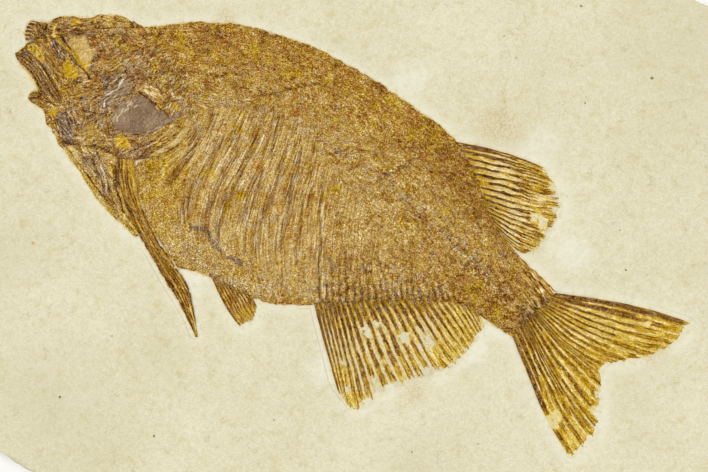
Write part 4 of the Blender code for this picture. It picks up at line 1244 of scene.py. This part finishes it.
flecks(jaw_plan, marks, jaw_top, 40, 72, 3.0, 0.5, lambda at_x, at_y: 2.2,
       [("tone", -0.3), ("tone", 0.35)], 0.05)
marks["fibre"] = fibres(jaw_plan[..., 1] * 1.5, jaw_plan[..., 0] * 0.2)
jaw_finish = bone_finish("dark_jaw_bone", 0.25, 0.08)
bone("upper_jaw_teeth", jaw_plan, jaw_top, marks, jaw_finish, "upper_jaw")


# ---- The lower jaw --------------------------------------------------------------------------
# A bundle of long thin bones laid side by side from the chin to the cheek, dark brown, with a
# groove between each. It lies over the front of the skull.

JAW_UPPER = [(-168.6, 90), (-164, 92.3), (-157.5, 88), (-151, 79.5), (-146, 70), (-145, 65)]
JAW_LOWER = [(-169, 89.3), (-164.3, 83.6), (-160.2, 77.6), (-157.2, 72.8), (-153, 67.4), (-147.5, 63)]
JAW_BONES = 6
JAW_COLUMNS = 150
JAW_ROWS = 80
jaw_plan = ragged(strip(JAW_UPPER, JAW_LOWER, JAW_COLUMNS, JAW_ROWS), 0.5)
along_jaw, over_jaw = shares(JAW_COLUMNS, JAW_ROWS)
bone_place = over_jaw * JAW_BONES + 0.25 * cloud(jaw_plan, 9, 73, 2)
groove = soft(np.abs((bone_place % 1) - 0.5), 0.26, 0.46)
marks = plain_marks(jaw_plan, 0.36, 0.30, 0.24, 0.14, 0.7)
jaw_top = FACE + 1.3 + 0.9 * np.sin(np.pi * np.clip(along_jaw * 0.9 + 0.1, 0, 1)) ** 0.5
jaw_top -= 0.5 * soft(np.abs(over_jaw - 0.5), 0.42, 0.5)
worn = cloud(np.stack([bone_place // 1 * 9, along_jaw * 6], -1), 1.0, 74, 2)
lay(marks, jaw_top, groove * (0.5 + 0.5 * soft(worn, -0.6, 0.4)), -0.3, tone=0.04, grey=0.3)
pale_bone = soft(cloud(np.stack([bone_place // 1 * 7, along_jaw * 3], -1), 1.0, 75, 2), 0.1, 0.6)
lay(marks, jaw_top, pale_bone * (1 - groove) * 0.6, 0.0, tone=0.52, grey=0.5)
lay(marks, jaw_top, soft(0.16 - over_jaw, -0.05, 0.1) * soft(along_jaw, 0.1, 0.3), 0.0, rust=0.35)
gilt_edge = soft(over_jaw, 0.93, 0.99) * soft(0.62 - along_jaw, -0.1, 0.1)
lay(marks, jaw_top, gilt_edge, tone=0.7, gold=0.8)
flecks(jaw_plan, marks, jaw_top, 120, 76, 5.0, 0.35, lambda at_x, at_y: np.radians(-52),
       [("tone", -0.3), ("tone", 0.22), ("gold", 0.3)], 0.04)
marks["lined"] += 0.34
marks["fibre"] = fibres(over_jaw * 9, along_jaw * 3)
bone("lower_jaw_bones", jaw_plan, jaw_top, marks, jaw_finish, "lower_jaw")


# ---- The gill cover -------------------------------------------------------------------------
# The one smooth plate of the head, a thin grey shield over the gills with a broken back edge.
# It lies on the cheek, and its upper left, where the surface has flaked, is lighter and carries painted
# glints.

GILL_COVER_UPPER = [(-121.5, 58.5), (-117.5, 65), (-111.5, 68.7), (-105.5, 69.3), (-100.5, 65.6),
                    (-98.5, 62.4), (-95, 62), (-92.8, 59.5)]
GILL_COVER_LOWER = [(-121.5, 57.8), (-118, 53.2), (-112, 51.3), (-106.5, 50.6), (-101, 53),
                    (-96, 56.4), (-92.8, 58.8)]
plate_plan = ragged(strip(GILL_COVER_UPPER, GILL_COVER_LOWER, 130, 80), 0.6)
plate_room = rim_gap(plate_plan)
plate_top = FACE + 1.9 + 0.75 * (1 - np.exp(-plate_room / 1.8)) + 0.10 * cloud(plate_plan, 6, 77, 2)
marks = plain_marks(plate_plan, 0.36, 0.90, grain=0.32)
flaked = spot(ragged(plate_plan, 2), (-116.5, 60), 5.0, 6.0)
lay(marks, plate_top, flaked, -0.15, tone=0.46)
lay(marks, plate_top, spot(plate_plan, (-99, 55), 5, 6), 0.0, tone=0.52)
flecks(plate_plan, marks, plate_top, 60, 78, 2.6, 0.5, lambda at_x, at_y: np.radians(60),
       [("tone", 0.10), ("tone", -0.12)], 0.04)
# Painted glints: short pale strokes, raised a little, over the upper left.
chance = np.random.default_rng(79)
for _ in range(46):
    share = chance.uniform(0, 1)
    centre = np.array([-120.5 + 11 * share, 57.5 + 9.5 * share]) + chance.normal(0, 1.1, 2)
    way = chance.normal(1.0, 0.35)
    reach = chance.uniform(0.3, 1.1) * np.array([np.cos(way), np.sin(way)])
    mask = stroke(plate_plan, [centre - reach, centre + reach], chance.uniform(0.3, 0.7), 0.4)
    lay(marks, plate_top, mask * chance.uniform(0.3, 0.9), 0.06, tone=0.90)
for line in ([(-96, 62), (-97, 57)], [(-101, 65), (-103, 58)]):
    lay(marks, plate_top, stroke(ragged(plate_plan, 0.8), line, 0.3, 0.4) * 0.5, -0.05, tone=0.30)
lay(marks, plate_top, soft(1.0 - plate_room, 0, 1.2) * 0.5, 0.0, tone=0.28)
marks["fibre"] = fibres(plate_plan[..., 0] * 1.2, plate_plan[..., 1] * 0.3)
marks["lined"] += 0.05
bone("gill_cover_plate", plate_plan, plate_top, marks, bone_finish("smooth_gill_plate", 0.12, 0.22),
     "gill_cover")


# ---- The breast -----------------------------------------------------------------------------
# The shoulder bones under the throat, crushed together in front of the pectoral fin: brown and
# grey splinters with a gold edge where the stone begins.

BREAST_FRONT = [
    (-145.5, 43.3), (-141.3, 37.3), (-135.8, 30.8), (-131.3, 22.8), (-125.8, 15.2), (-119.3, 8.7),
    (-112.3, 2.2), (-108.5, -0.8),
]
BREAST_BACK = [
    (-144, 45.5), (-134.5, 44.7), (-125, 42.7), (-118.7, 39), (-117.5, 29), (-115.5, 19),
    (-111.5, 8), (-107.6, 0),
]
breast_plan = ragged(strip(BREAST_FRONT, BREAST_BACK, 190, 120))
loose_plan = ragged(breast_plan, 0.7)
breast_room = rim_gap(breast_plan)
breast_top = stone_level(breast_plan) + MARGIN_RISE + 1.5 * (1 - np.exp(-breast_room / 5.0))
marks = plain_marks(breast_plan, 0.67, 0.20, 0.14, 0.28, 0.8)
# Crushed plates, then cracks and edges: outline or line and width, marks and rise.
BREAST_PATCHES = table("""
    -138,41 -128,42 -124,34 -122,24 -128,28 -134,34 | tone .52 grey .95 rust 0 | .1
    -128,26 -120,26 -117,10 -122,12 | tone .38 grey .4 | 0
    -122,36 -117,38 -116,24 -120,24 | tone .34 rust .3 | .1
""")
for outline, values, rise in BREAST_PATCHES:
    lay(marks, breast_top, patch(loose_plan, outline, 2.0), rise, **values)
BREAST_LINES = table("""
    -127,36 -124.5,30 -123.5,22 | .9 | tone .92 grey .7 | .15
    -131,38 -127,30 -124.5,22 | .8 | tone .16 grey .5 | -.1
    -119.5,36 -118.5,24 -115,12 | 1 | tone .1 | .1
    -121.5,34 -120.5,22 -116.5,10 | .8 | tone .75 gold .5 | .1
    -138,36 -130,26 -124,18 | .7 | tone .22 | 0
""")
for line, width, values, rise in BREAST_LINES:
    lay(marks, breast_top, stroke(loose_plan, line, width, 0.5), rise, **values)
flecks(breast_plan, marks, breast_top, 260, 81, 4.0, 0.5, lambda at_x, at_y: np.radians(-55),
       [("tone", -0.34), ("tone", 0.30), ("grey", 0.4), ("gold", 0.4)], 0.05)
grit = cloud(breast_plan, 1.0, 82, 2)
breast_top += 0.06 * grit
marks["tone"] += 0.07 * grit
open_side = patch(breast_plan, [(-150, 46), (-143, 43), (-128, 26), (-110, 5), (-108, -6), (-130, -6)], 4)
thin_out(marks, breast_room, breast_plan, 83, (0.4, 2.0), open_side)
marks["lined"] += 0.2
marks["fibre"] = fibres(breast_plan[..., 0] * 1.0 + breast_plan[..., 1] * 0.6,
                        breast_plan[..., 0] * -0.08 + breast_plan[..., 1] * 0.14)
bone("shoulder_bones", breast_plan, breast_top, marks, bone_finish("shoulder_bone", 0.30, 0.08),
     "shoulder_girdle")


# ---- The pectoral fin -----------------------------------------------------------------------
# The long front fin, folded along the body: a thick dark leading ray with gold stained stone
# behind it, and thinner rays side by side. It frays to a point against the stone.

PECTORAL_FRONT = [
    (-118.2, 38.2), (-115.9, 19.5), (-111.9, 8.3), (-106.9, -1.2), (-101.4, -10.8), (-94.9, -22.3),
    (-88.4, -32.8), (-83.4, -41.3), (-79.5, -50.5),
]
PECTORAL_BACK = [
    (-109.9, 38.3), (-107.9, 19.5), (-102.9, 8.5), (-97.3, -2), (-91.5, -11), (-86, -19),
    (-82.5, -27), (-80, -38), (-78.3, -50.5),
]
PECTORAL_RISE = 1.5            # of the fin's root above the stone
PECTORAL_COLUMNS = 330
PECTORAL_ROWS = 76
fin_plan = ragged(strip(PECTORAL_FRONT, PECTORAL_BACK, PECTORAL_COLUMNS, PECTORAL_ROWS), 0.5)
along_fin, over_fin = shares(PECTORAL_COLUMNS, PECTORAL_ROWS)
over_fin = over_fin + 0.05 * cloud(fin_plan, 14, 84, 2)
marks = plain_marks(fin_plan, 0.58, 0.08, 0.10, 0.55, 0.6)
fin_top = stone_level(fin_plan) + 0.30 + (PECTORAL_RISE - 0.35) * (1 - along_fin)
# Rays from the leading edge back: place across the fin, width, start and end along it, darkness.
PECTORAL_RAYS = [(0.16, 0.24, 0.0, 1.0, 0.06), (0.42, 0.10, 0.05, 0.92, 0.14),
                 (0.58, 0.12, 0.0, 0.99, 0.10), (0.74, 0.09, 0.1, 0.86, 0.18), (0.90, 0.13, 0.25, 0.97, 0.10)]
for ray, width, start, end, dark in PECTORAL_RAYS:
    mask = soft(width / 2 - np.abs(over_fin - ray), -0.03, 0.04)
    mask = mask * soft(along_fin, start - 0.02, start + 0.03) * soft(end - along_fin, 0, 0.06)
    worn = cloud(np.stack([along_fin * 40, over_fin * 0 + ray * 90], -1), 1.0, 85, 2)
    mask = mask * (0.55 + 0.45 * soft(worn, -0.6, 0.1))
    lay(marks, fin_top, mask, 0.5, tone=dark, gold=0.0, grey=0.15)
    # A painted highlight: a pale stripe along one side of each ray.
    glint = soft(width * 0.16 - np.abs(over_fin - ray - width * 0.1), -0.02, 0.02) * mask
    lay(marks, fin_top, glint * 0.5 * soft(cloud(fin_plan, 4, 86, 1), 0.0, 0.4), tone=0.55, grey=0.5)
marks["tone"] -= 0.25 * soft(along_fin, 0.93, 1.0)
fin_edge = np.minimum(over_fin, 1 - over_fin) + 0.06 * cloud(fin_plan, 2, 87, 2)
marks["stone"] = 0.8 * (1 - soft(fin_edge, 0.0, 0.07)) * soft(along_fin, 0.3, 0.5)
flecks(fin_plan, marks, fin_top, 160, 88, 4.0, 0.4, lambda at_x, at_y: np.radians(-62),
       [("tone", -0.3), ("tone", 0.28), ("gold", 0.4)], 0.03)
marks["lined"] += 0.30
marks["fibre"] = fibres(over_fin * 14, along_fin * 10)
ray_finish = bone_finish("fin_ray_bone", 0.25, 0.07)
bone("pectoral_fin_rays", fin_plan, fin_top, marks, ray_finish, "pectoral_fin")


# ---- The dorsal, anal, pelvic and tail fins -------------------------------------------------
# Fans of thin dark rays that split and fray towards the free edge, with gold stained stone
# between them. Each fan runs out from under the edge of the body.

ROOT_DEPTH = 1.8               # how far a fin reaches under the body
FLECK_POINTS = 240             # of a fan's grid, for each splinter on it
WEB_RISE = 0.30                # of the stained web above the stone at the body
RAY_RISE = 0.62                # of a ray above its web
SINK = 0.50                    # and how far it sinks past its free edge
DORSAL_LINES = table("""
    51.5,47 67,44 82,39.5 96,34
    56,38 71,35 86,31 101,26
    63,27 77,24 91,19.5 104,18
    66.5,18 79,14 91,11.5 103,9.5
    69,11.5 79,6.5 88,2.5 97.5,-.5
    72,4.5 78,-.5 85,-4.5 92,-6.5
    77,-3.5 80,-6 83,-8 85.5,-9
""")
ANAL_LINES = table("""
    -20,-34 -16.5,-48 -12.5,-62 -7.5,-80
    -12,-33.5 -8.5,-49 -4.2,-67 0,-88.3
    -3.5,-33 1.5,-48 7,-64 12.5,-80.5
    9,-33 15,-45 21.5,-58.5 28.5,-74
    23,-32.5 30,-44 37,-56 45,-69
    38,-33 44,-42 50,-51 56.5,-59.5
    50.5,-34 54.5,-39.5 58,-45 61.5,-51
    63.5,-41 64.2,-42.7 64.8,-44.2 65.5,-45.5
""")
PELVIC_LINES = table("""
    -72.5,-18 -67,-30.5 -62,-39 -56.5,-46.5
    -66,-22.5 -61,-32 -57,-39 -52.5,-44
    -59,-26 -55.5,-32 -52.5,-37.5 -50,-41.5
    -52,-29.5 -50.5,-31.5 -49.5,-33.5 -48.5,-35.5
""")
TAIL_LINES = table("""
    101,-28.5 125.5,-32 147,-36.5 169,-43.5
    97,-32.5 120,-41.3 142,-47.8 163.5,-52.5
    94,-35.5 111,-46.5 129,-55.3 146,-61.5
    91.5,-38.3 103,-50.2 115,-59 126.5,-65
    90,-39.5 101,-52.5 113,-64 124.5,-74.5
    86.5,-42.8 98,-63.5 110,-81.5 122.5,-97
    84.5,-44.8 95,-66.3 106,-87.5 117.5,-104.5
    79.5,-51 88,-72 96,-91 108.5,-112
""")


def fin(name, node, lines, size, seed, style, bare, patches, dark_rays):
    """A fan of rays over its stained web: each ray splits, breaks into joints and frays at its tip.

    lines are a few of the rays, from root to tip, and size is rays, columns and rows. bare are spots
    of open stone, patches are stains, and dark_rays are places across the fan, with a half width
    and an end along it, where a ray is thick and dark.

    style holds shares from 0 to 1: fork is where a ray splits and how far its branches part, width,
    taper and core its stained band and dark middle, whole how unbroken it is, kink how it wavers,
    pale, beside and line the painted highlight beside it, fading the stone at the free edge, slim a part
    of the fan with thinner rays, and band and web the marks of the rays and of what is between.
    """
    rays, columns, rows = size
    rooted = []
    for (line,) in lines:
        line = np.array(line)
        first = line[1] - line[0]
        line[0] -= first / np.linalg.norm(first) * ROOT_DEPTH
        rooted.append(spread(line, rows))
    plan = spline(np.array(rooted), np.linspace(0, len(lines) - 1, columns))
    across, along = shares(columns, rows)
    length = np.linalg.norm(plan[:, -1] - plan[:, 0], axis=1)[:, None] * np.ones((1, rows))
    place = across * rays + 0.16 * cloud(plan, 18, seed, 2) + style["kink"] * cloud(plan, 3, seed + 1, 1)
    number = np.floor(place)
    off = place % 1 - 0.5

    def per_branch(branch, run, size, layer):
        """Chance values that change along each branch, but not across it."""
        return cloud(np.stack([branch * 11.3 + 5, along * run / size], axis=-1), 1.0, seed + layer, 2)

    split_at, fork_by = style["fork"]
    late = 0.10 * cloud(np.stack([number * 7.7, number * 0], axis=-1), 1.0, seed + 2, 1)
    fork = soft(along + late, split_at, split_at + 0.25) * fork_by
    fork_again = soft(along + late, split_at + 0.28, split_at + 0.45) * fork_by * 0.5
    gap = np.abs(np.abs(np.abs(off) - fork) - fork_again)
    branch = number + np.sign(off) * 0.21 * (fork > 0.01)
    branch = branch + 0.09 * np.sign(np.abs(off) - fork) * (fork_again > 0.01)
    slow = per_branch(number, length, 16, 3)
    joints = per_branch(branch, length, 2.6, 4)
    breaks = per_branch(branch, length, 7.0, 14)
    chips = per_branch(branch, length, 0.9, 5)
    outer = soft(along, 0.25, 0.95)
    inner = 1 - soft(along, 0.0, 0.30)
    width = style["width"] * (1 - style["taper"] * soft(along, 0.05, 0.9))
    width = width * (1 + 0.16 * slow + 0.14 * joints + 0.16 * chips)
    width = width * (1 - 0.35 * soft(along, 0.80, 1.0))
    slim_from, slim_to, slim_by = style["slim"]
    slim = soft(across, slim_from, slim_from + 0.08) * soft(slim_to - across, 0, 0.08)
    width = width * (1 - slim_by * slim)
    band = soft(width - gap, -0.035, 0.045)
    core = width * np.clip(style["core"] + 0.22 * joints + 0.12 * chips - 0.30 * outer, 0, 1)
    core = soft(core - gap, -0.03, 0.04) * soft(core, 0.01, 0.05)
    whole = style["whole"]
    ends = 0.965 + 0.05 * cloud(np.stack([branch * 9.1, branch * 0], axis=-1), 1.0, seed + 6, 1)
    present = soft(slow + whole - 0.5 * outer, -0.25, 0.15) * soft(ends - along, 0, 0.04)
    unbroken = soft(breaks + 0.2 * joints + whole - 0.60 * outer, -0.04, 0.06)
    thick = np.zeros_like(across)
    for ray_place, half_width, end in dark_rays:
        bend = 0.003 * cloud(plan, 5, seed + 7, 2)
        strip_mask = soft(half_width - np.abs(across + bend - ray_place), -0.003, 0.004)
        thick = np.maximum(thick, strip_mask * soft(end - along, 0.0, 0.06))
    loose = ragged(plan, 1.8)
    marks = plain_marks(plan, 0.9, 0.05, -0.2, 0.4, 0.5, 0.22)
    top = stone_level(plan) + 0.12 + WEB_RISE * (1 - along) + 0.05 * cloud(plan, 3, seed + 8, 2)
    web = style["web"]
    drift = cloud(plan, 8, seed + 9, 2)
    marks["tone"] += web["tone"] - 0.9 + 0.08 * drift - 0.34 * inner
    marks["gold"] += web["gold"] - 0.4 + 0.30 * cloud(plan, 6, seed + 10, 2) + 0.25 * inner
    marks["stone"] += web["stone"] * soft(along, 0.08, 0.35) - 0.25 * drift * soft(along, 0.1, 0.4)
    for (centre,), radius, values in patches:
        lay(marks, top, spot(loose, centre, radius, radius) * 0.9, **values)
    fading = soft(along + 0.07 * cloud(plan, 5, seed + 15, 2), 0.84, 0.97)
    marks["stone"] += style["fading"] * fading
    # A pale line, raised a little and painted as a highlight, lies beside each ray, on the side away from the
    # light.
    side = place + style["width"] * style["beside"] * (1 - 0.4 * outer)
    pale = soft(style["line"] - np.abs(side % 1 - 0.5), -0.03, 0.04)
    pale = pale * soft(per_branch(np.floor(side), length, 5, 11), -0.5, 0.2)
    lay(marks, top, pale * style["pale"] * (1 - 0.6 * inner), 0.05, tone=0.96, gold=0.38, stone=0.0, grey=0.1)
    open_stone = np.zeros_like(across)
    for centre, radius in bare:
        open_stone = np.maximum(open_stone, spot(loose, centre, radius, 1.6))
        ring = spot(loose, centre, radius + 1.0, 1.6) * (1 - open_stone)
        lay(marks, top, ring * 0.5, gold=0.8, tone=0.66)
    lay(marks, top, open_stone, -0.15, stone=style["bare"], tone=0.95, gold=0.9, grain=0.4, lined=0.1)
    band = band * present * (1 - open_stone)
    core = core * present * unbroken * (1 - open_stone)
    thick = thick * (1 - open_stone)
    gilt = style["band"]
    lay(marks, top, band, 0.0, stone=-0.3, rust=0.1, grey=0.0, gold=gilt["gold"],
        tone=gilt["tone"] + 0.10 * joints + 0.10 * outer)
    shade = style["dark"] + 0.09 * slow + 0.08 * chips + 0.14 * outer + 0.08 * inner
    lay(marks, top, core, 0.0, gold=0.05 + 0.15 * outer, tone=shade, grey=0.15 + 0.40 * inner,
        rust=style["rust"] * soft(slow, -0.2, 0.6), grain=0.85)
    lay(marks, top, thick * 0.92, 0.0, gold=0.1, stone=-0.3, grey=0.3,
        tone=0.14 + 0.12 * soft(joints, -0.2, 0.6))
    ridge = np.maximum(0.6 * band + 0.4 * core, thick)
    top += RAY_RISE * ridge * (1 - 0.5 * along)
    # Where the fin runs under the body's edge it is sunk, and painted darker there as shade.
    tuck = 1 - soft(along, 0.0, 0.06)
    top -= 0.55 * tuck
    marks["tone"] -= 0.10 * tuck
    # The film thins away to stone past the tips.
    edge = 0.975 + 0.03 * cloud(plan, 2.0, seed + 12, 2) - along
    gone = 1 - soft(edge, -0.02, 0.03)
    top -= SINK * gone
    marks["stone"] = np.clip(marks["stone"] + gone, -0.5, 1.2)
    heading = np.arctan2(*(plan[columns // 2, -1] - plan[columns // 2, 0])[::-1])
    changes = [("tone", -0.25), ("tone", 0.20), ("gold", 0.3), ("rust", 0.5)]
    count = columns * rows // FLECK_POINTS
    flecks(plan, marks, top, count, seed + 13, 3.0, 0.35, lambda at_x, at_y: heading, changes, 0.02)
    marks["fibre"] = fibres(place * 3.4, along * length * 0.22)
    bone(name, plan, top, marks, ray_finish, node)


fin(
    "dorsal_fin_rays", "dorsal_fin", DORSAL_LINES, (17, 300, 140), 200,
    dict(fork=(0.4, 0.22), width=0.22, taper=0.3, core=0.84, whole=0.85, dark=0.08, kink=0.06,
         pale=1.0, beside=1.3, line=0.12, fading=0.5, slim=(0, 0, 0), bare=0.6, rust=0.3,
         band={"tone": 0.57, "gold": 0.85}, web={"tone": 0.91, "gold": 0.34, "stone": 0.26}),
    bare=[((90.5, 10), 2.6), ((94, 7), 3.0)],
    dark_rays=[(0.026, 0.026, 0.46), (0.01, 0.009, 0.96), (0.08, 0.009, 0.5)],
    patches=table("""
        60,39.5 | 3 | gold 1.1 tone .7
        67,37 | 2.6 | gold 1 tone .72
        91,1.5 | 2.4 | gold .9 rust .6
        85,27 | 2.2 | rust .5 tone .5
        66,22 | 3 | gold .8
        73,12 | 3 | gold .7
        92,30 | 2 | gold .9
    """))
fin(
    "anal_fin_rays", "anal_fin", ANAL_LINES, (26, 410, 145), 220,
    dict(fork=(0.5, 0.16), width=0.35, taper=0.55, core=0.86, whole=0.85, dark=0.19, kink=0.025,
         pale=0.8, beside=1.25, line=0.08, fading=0.25, slim=(0.45, 1.1, 0.22), bare=0.8, rust=0.3,
         band={"tone": 0.6, "gold": 0.95}, web={"tone": 0.85, "gold": 0.58, "stone": 0.6}),
    bare=[((25.5, -51.5), 2.8), ((7.5, -49), 2.4), ((17, -76), 2.6), ((12, -44), 1.5), ((5, -46), 1.6)],
    dark_rays=[(0.012, 0.013, 0.97), (0.1, 0.004, 0.96), (0.058, 0.005, 0.5)],
    patches=table("""
        52,-47 | 14 | gold .85 stone .36 tone .84
        32,-41 | 3.6 | gold 1 tone .74
        16,-40 | 3 | gold .8
        34,-37 | 2.4 | rust .7 tone .5
        52,-42 | 5 | gold .9 stone .1
        44,-60 | 5 | gold .9 stone .25
        -8,-70 | 5 | gold .9 stone 0
        1,-83 | 5 | gold 1 stone .1 tone .86
    """))
fin(
    "pelvic_fin_rays", "pelvic_fin", PELVIC_LINES, (9, 140, 90), 240,
    dict(fork=(0.4, 0.2), width=0.36, taper=0.5, core=0.8, whole=0.9, dark=0.2, kink=0.08,
         pale=0.4, beside=1.25, line=0.08, fading=0.6, slim=(0, 0, 0), bare=0.8, rust=0.3,
         band={"tone": 0.55, "gold": 0.7}, web={"tone": 0.8, "gold": 0.65, "stone": 0.36}),
    bare=[],
    dark_rays=[(0.05, 0.03, 0.98)],
    patches=table("""
        -62,-33 | 4 | tone .55 rust .3
        -67,-26 | 3 | tone .42
    """))
fin(
    "tail_fin_rays", "tail_fin", TAIL_LINES, (22, 340, 176), 260,
    dict(fork=(0.52, 0.16), width=0.33, taper=0.36, core=0.78, whole=0.85, dark=0.18, kink=0.03,
         pale=1.0, beside=1.45, line=0.15, fading=0.3, slim=(0.06, 0.5, 0.34), bare=0.5, rust=0.75,
         band={"tone": 0.45, "gold": 1.3}, web={"tone": 0.74, "gold": 1.05, "stone": 0.0}),
    bare=[((147, -44), 1.5), ((100, -92), 4.0), ((121.5, -87), 3.0)],
    dark_rays=[(0.016, 0.016, 0.97), (0.056, 0.01, 0.66), (0.984, 0.019, 0.62), (0.945, 0.009, 0.5)],
    patches=table("""
        124,-41 | 12 | tone .86 gold .72 stone .3
        144,-46 | 10 | tone .84 gold .8 stone .26
        104,-50 | 6 | rust .3 tone .6
        107,-31 | 5 | tone .34 gold .1
        98,-78 | 3 | tone .35
        92,-60 | 5 | gold .8
        110,-80 | 6 | gold .9
        119,-90 | 4 | stone .8 tone .9
        121,-78 | 3 | stone .7 tone .9
        124,-54 | 5 | gold .8
    """))


# ---- The studio -----------------------------------------------------------------------------
# A pale floor under the slab, a broad soft light from the upper left with an even fill round it,
# and a camera straight above the fish.

FLOOR_SIZE = 6.0
floor_mesh = bpy.data.meshes.new("floor")
half = FLOOR_SIZE / 2
corners = [(-half, -half, 0), (half, -half, 0), (half, half, 0), (-half, half, 0)]
floor_mesh.from_pydata(corners, [], [(0, 1, 2, 3)])
floor = bpy.data.objects.new("floor", floor_mesh)
bpy.context.scene.collection.objects.link(floor)
paper, tree = new_finish("pale_floor")
tint = noise(tree, millimetres(tree), 0.01, 2.0, 0.5)
colour = mixed(tree, tint, paint(252, 252, 251), paint(254, 254, 254))
finish_with(tree, colour, 0.9, tint, 0.05, 0.1)
floor_mesh.materials.append(paper)

world = bpy.data.worlds.new("studio")
bpy.context.scene.world = world
world.use_nodes = True
sky = world.node_tree.nodes["Background"].inputs
sky["Color"].default_value = (1.0, 1.0, 1.0, 1.0)
sky["Strength"].default_value = 0.61
# Lamps: name, place, softness and power.
LIGHTS = [("key", (-1.2, 1.2, 2.1), 0.45, 1.36), ("fill", (1.4, -1.0, 1.8), 0.9, 0.25)]
for name, place, softness, power in LIGHTS:
    lamp = bpy.data.lights.new(name, "SUN")
    lamp.angle = softness
    lamp.energy = power
    light = bpy.data.objects.new(name, lamp)
    light.location = place
    towards_face = Vector((0, 0, FACE * MM)) - Vector(place)
    light.rotation_euler = towards_face.to_track_quat("-Z", "Y").to_euler()
    bpy.context.scene.collection.objects.link(light)

VIEW_WIDTH = 0.354             # of the slab's face seen across the picture
lens = bpy.data.cameras.new("camera")
lens.lens = 85
lens.sensor_width = 36
lens.clip_start = 0.05
lens.clip_end = 20
camera = bpy.data.objects.new("camera", lens)
camera.location = (0, 0, FACE * MM + VIEW_WIDTH * lens.lens / lens.sensor_width)
bpy.context.scene.collection.objects.link(camera)
bpy.context.scene.camera = camera
bpy.context.scene.view_settings.view_transform = "Standard"
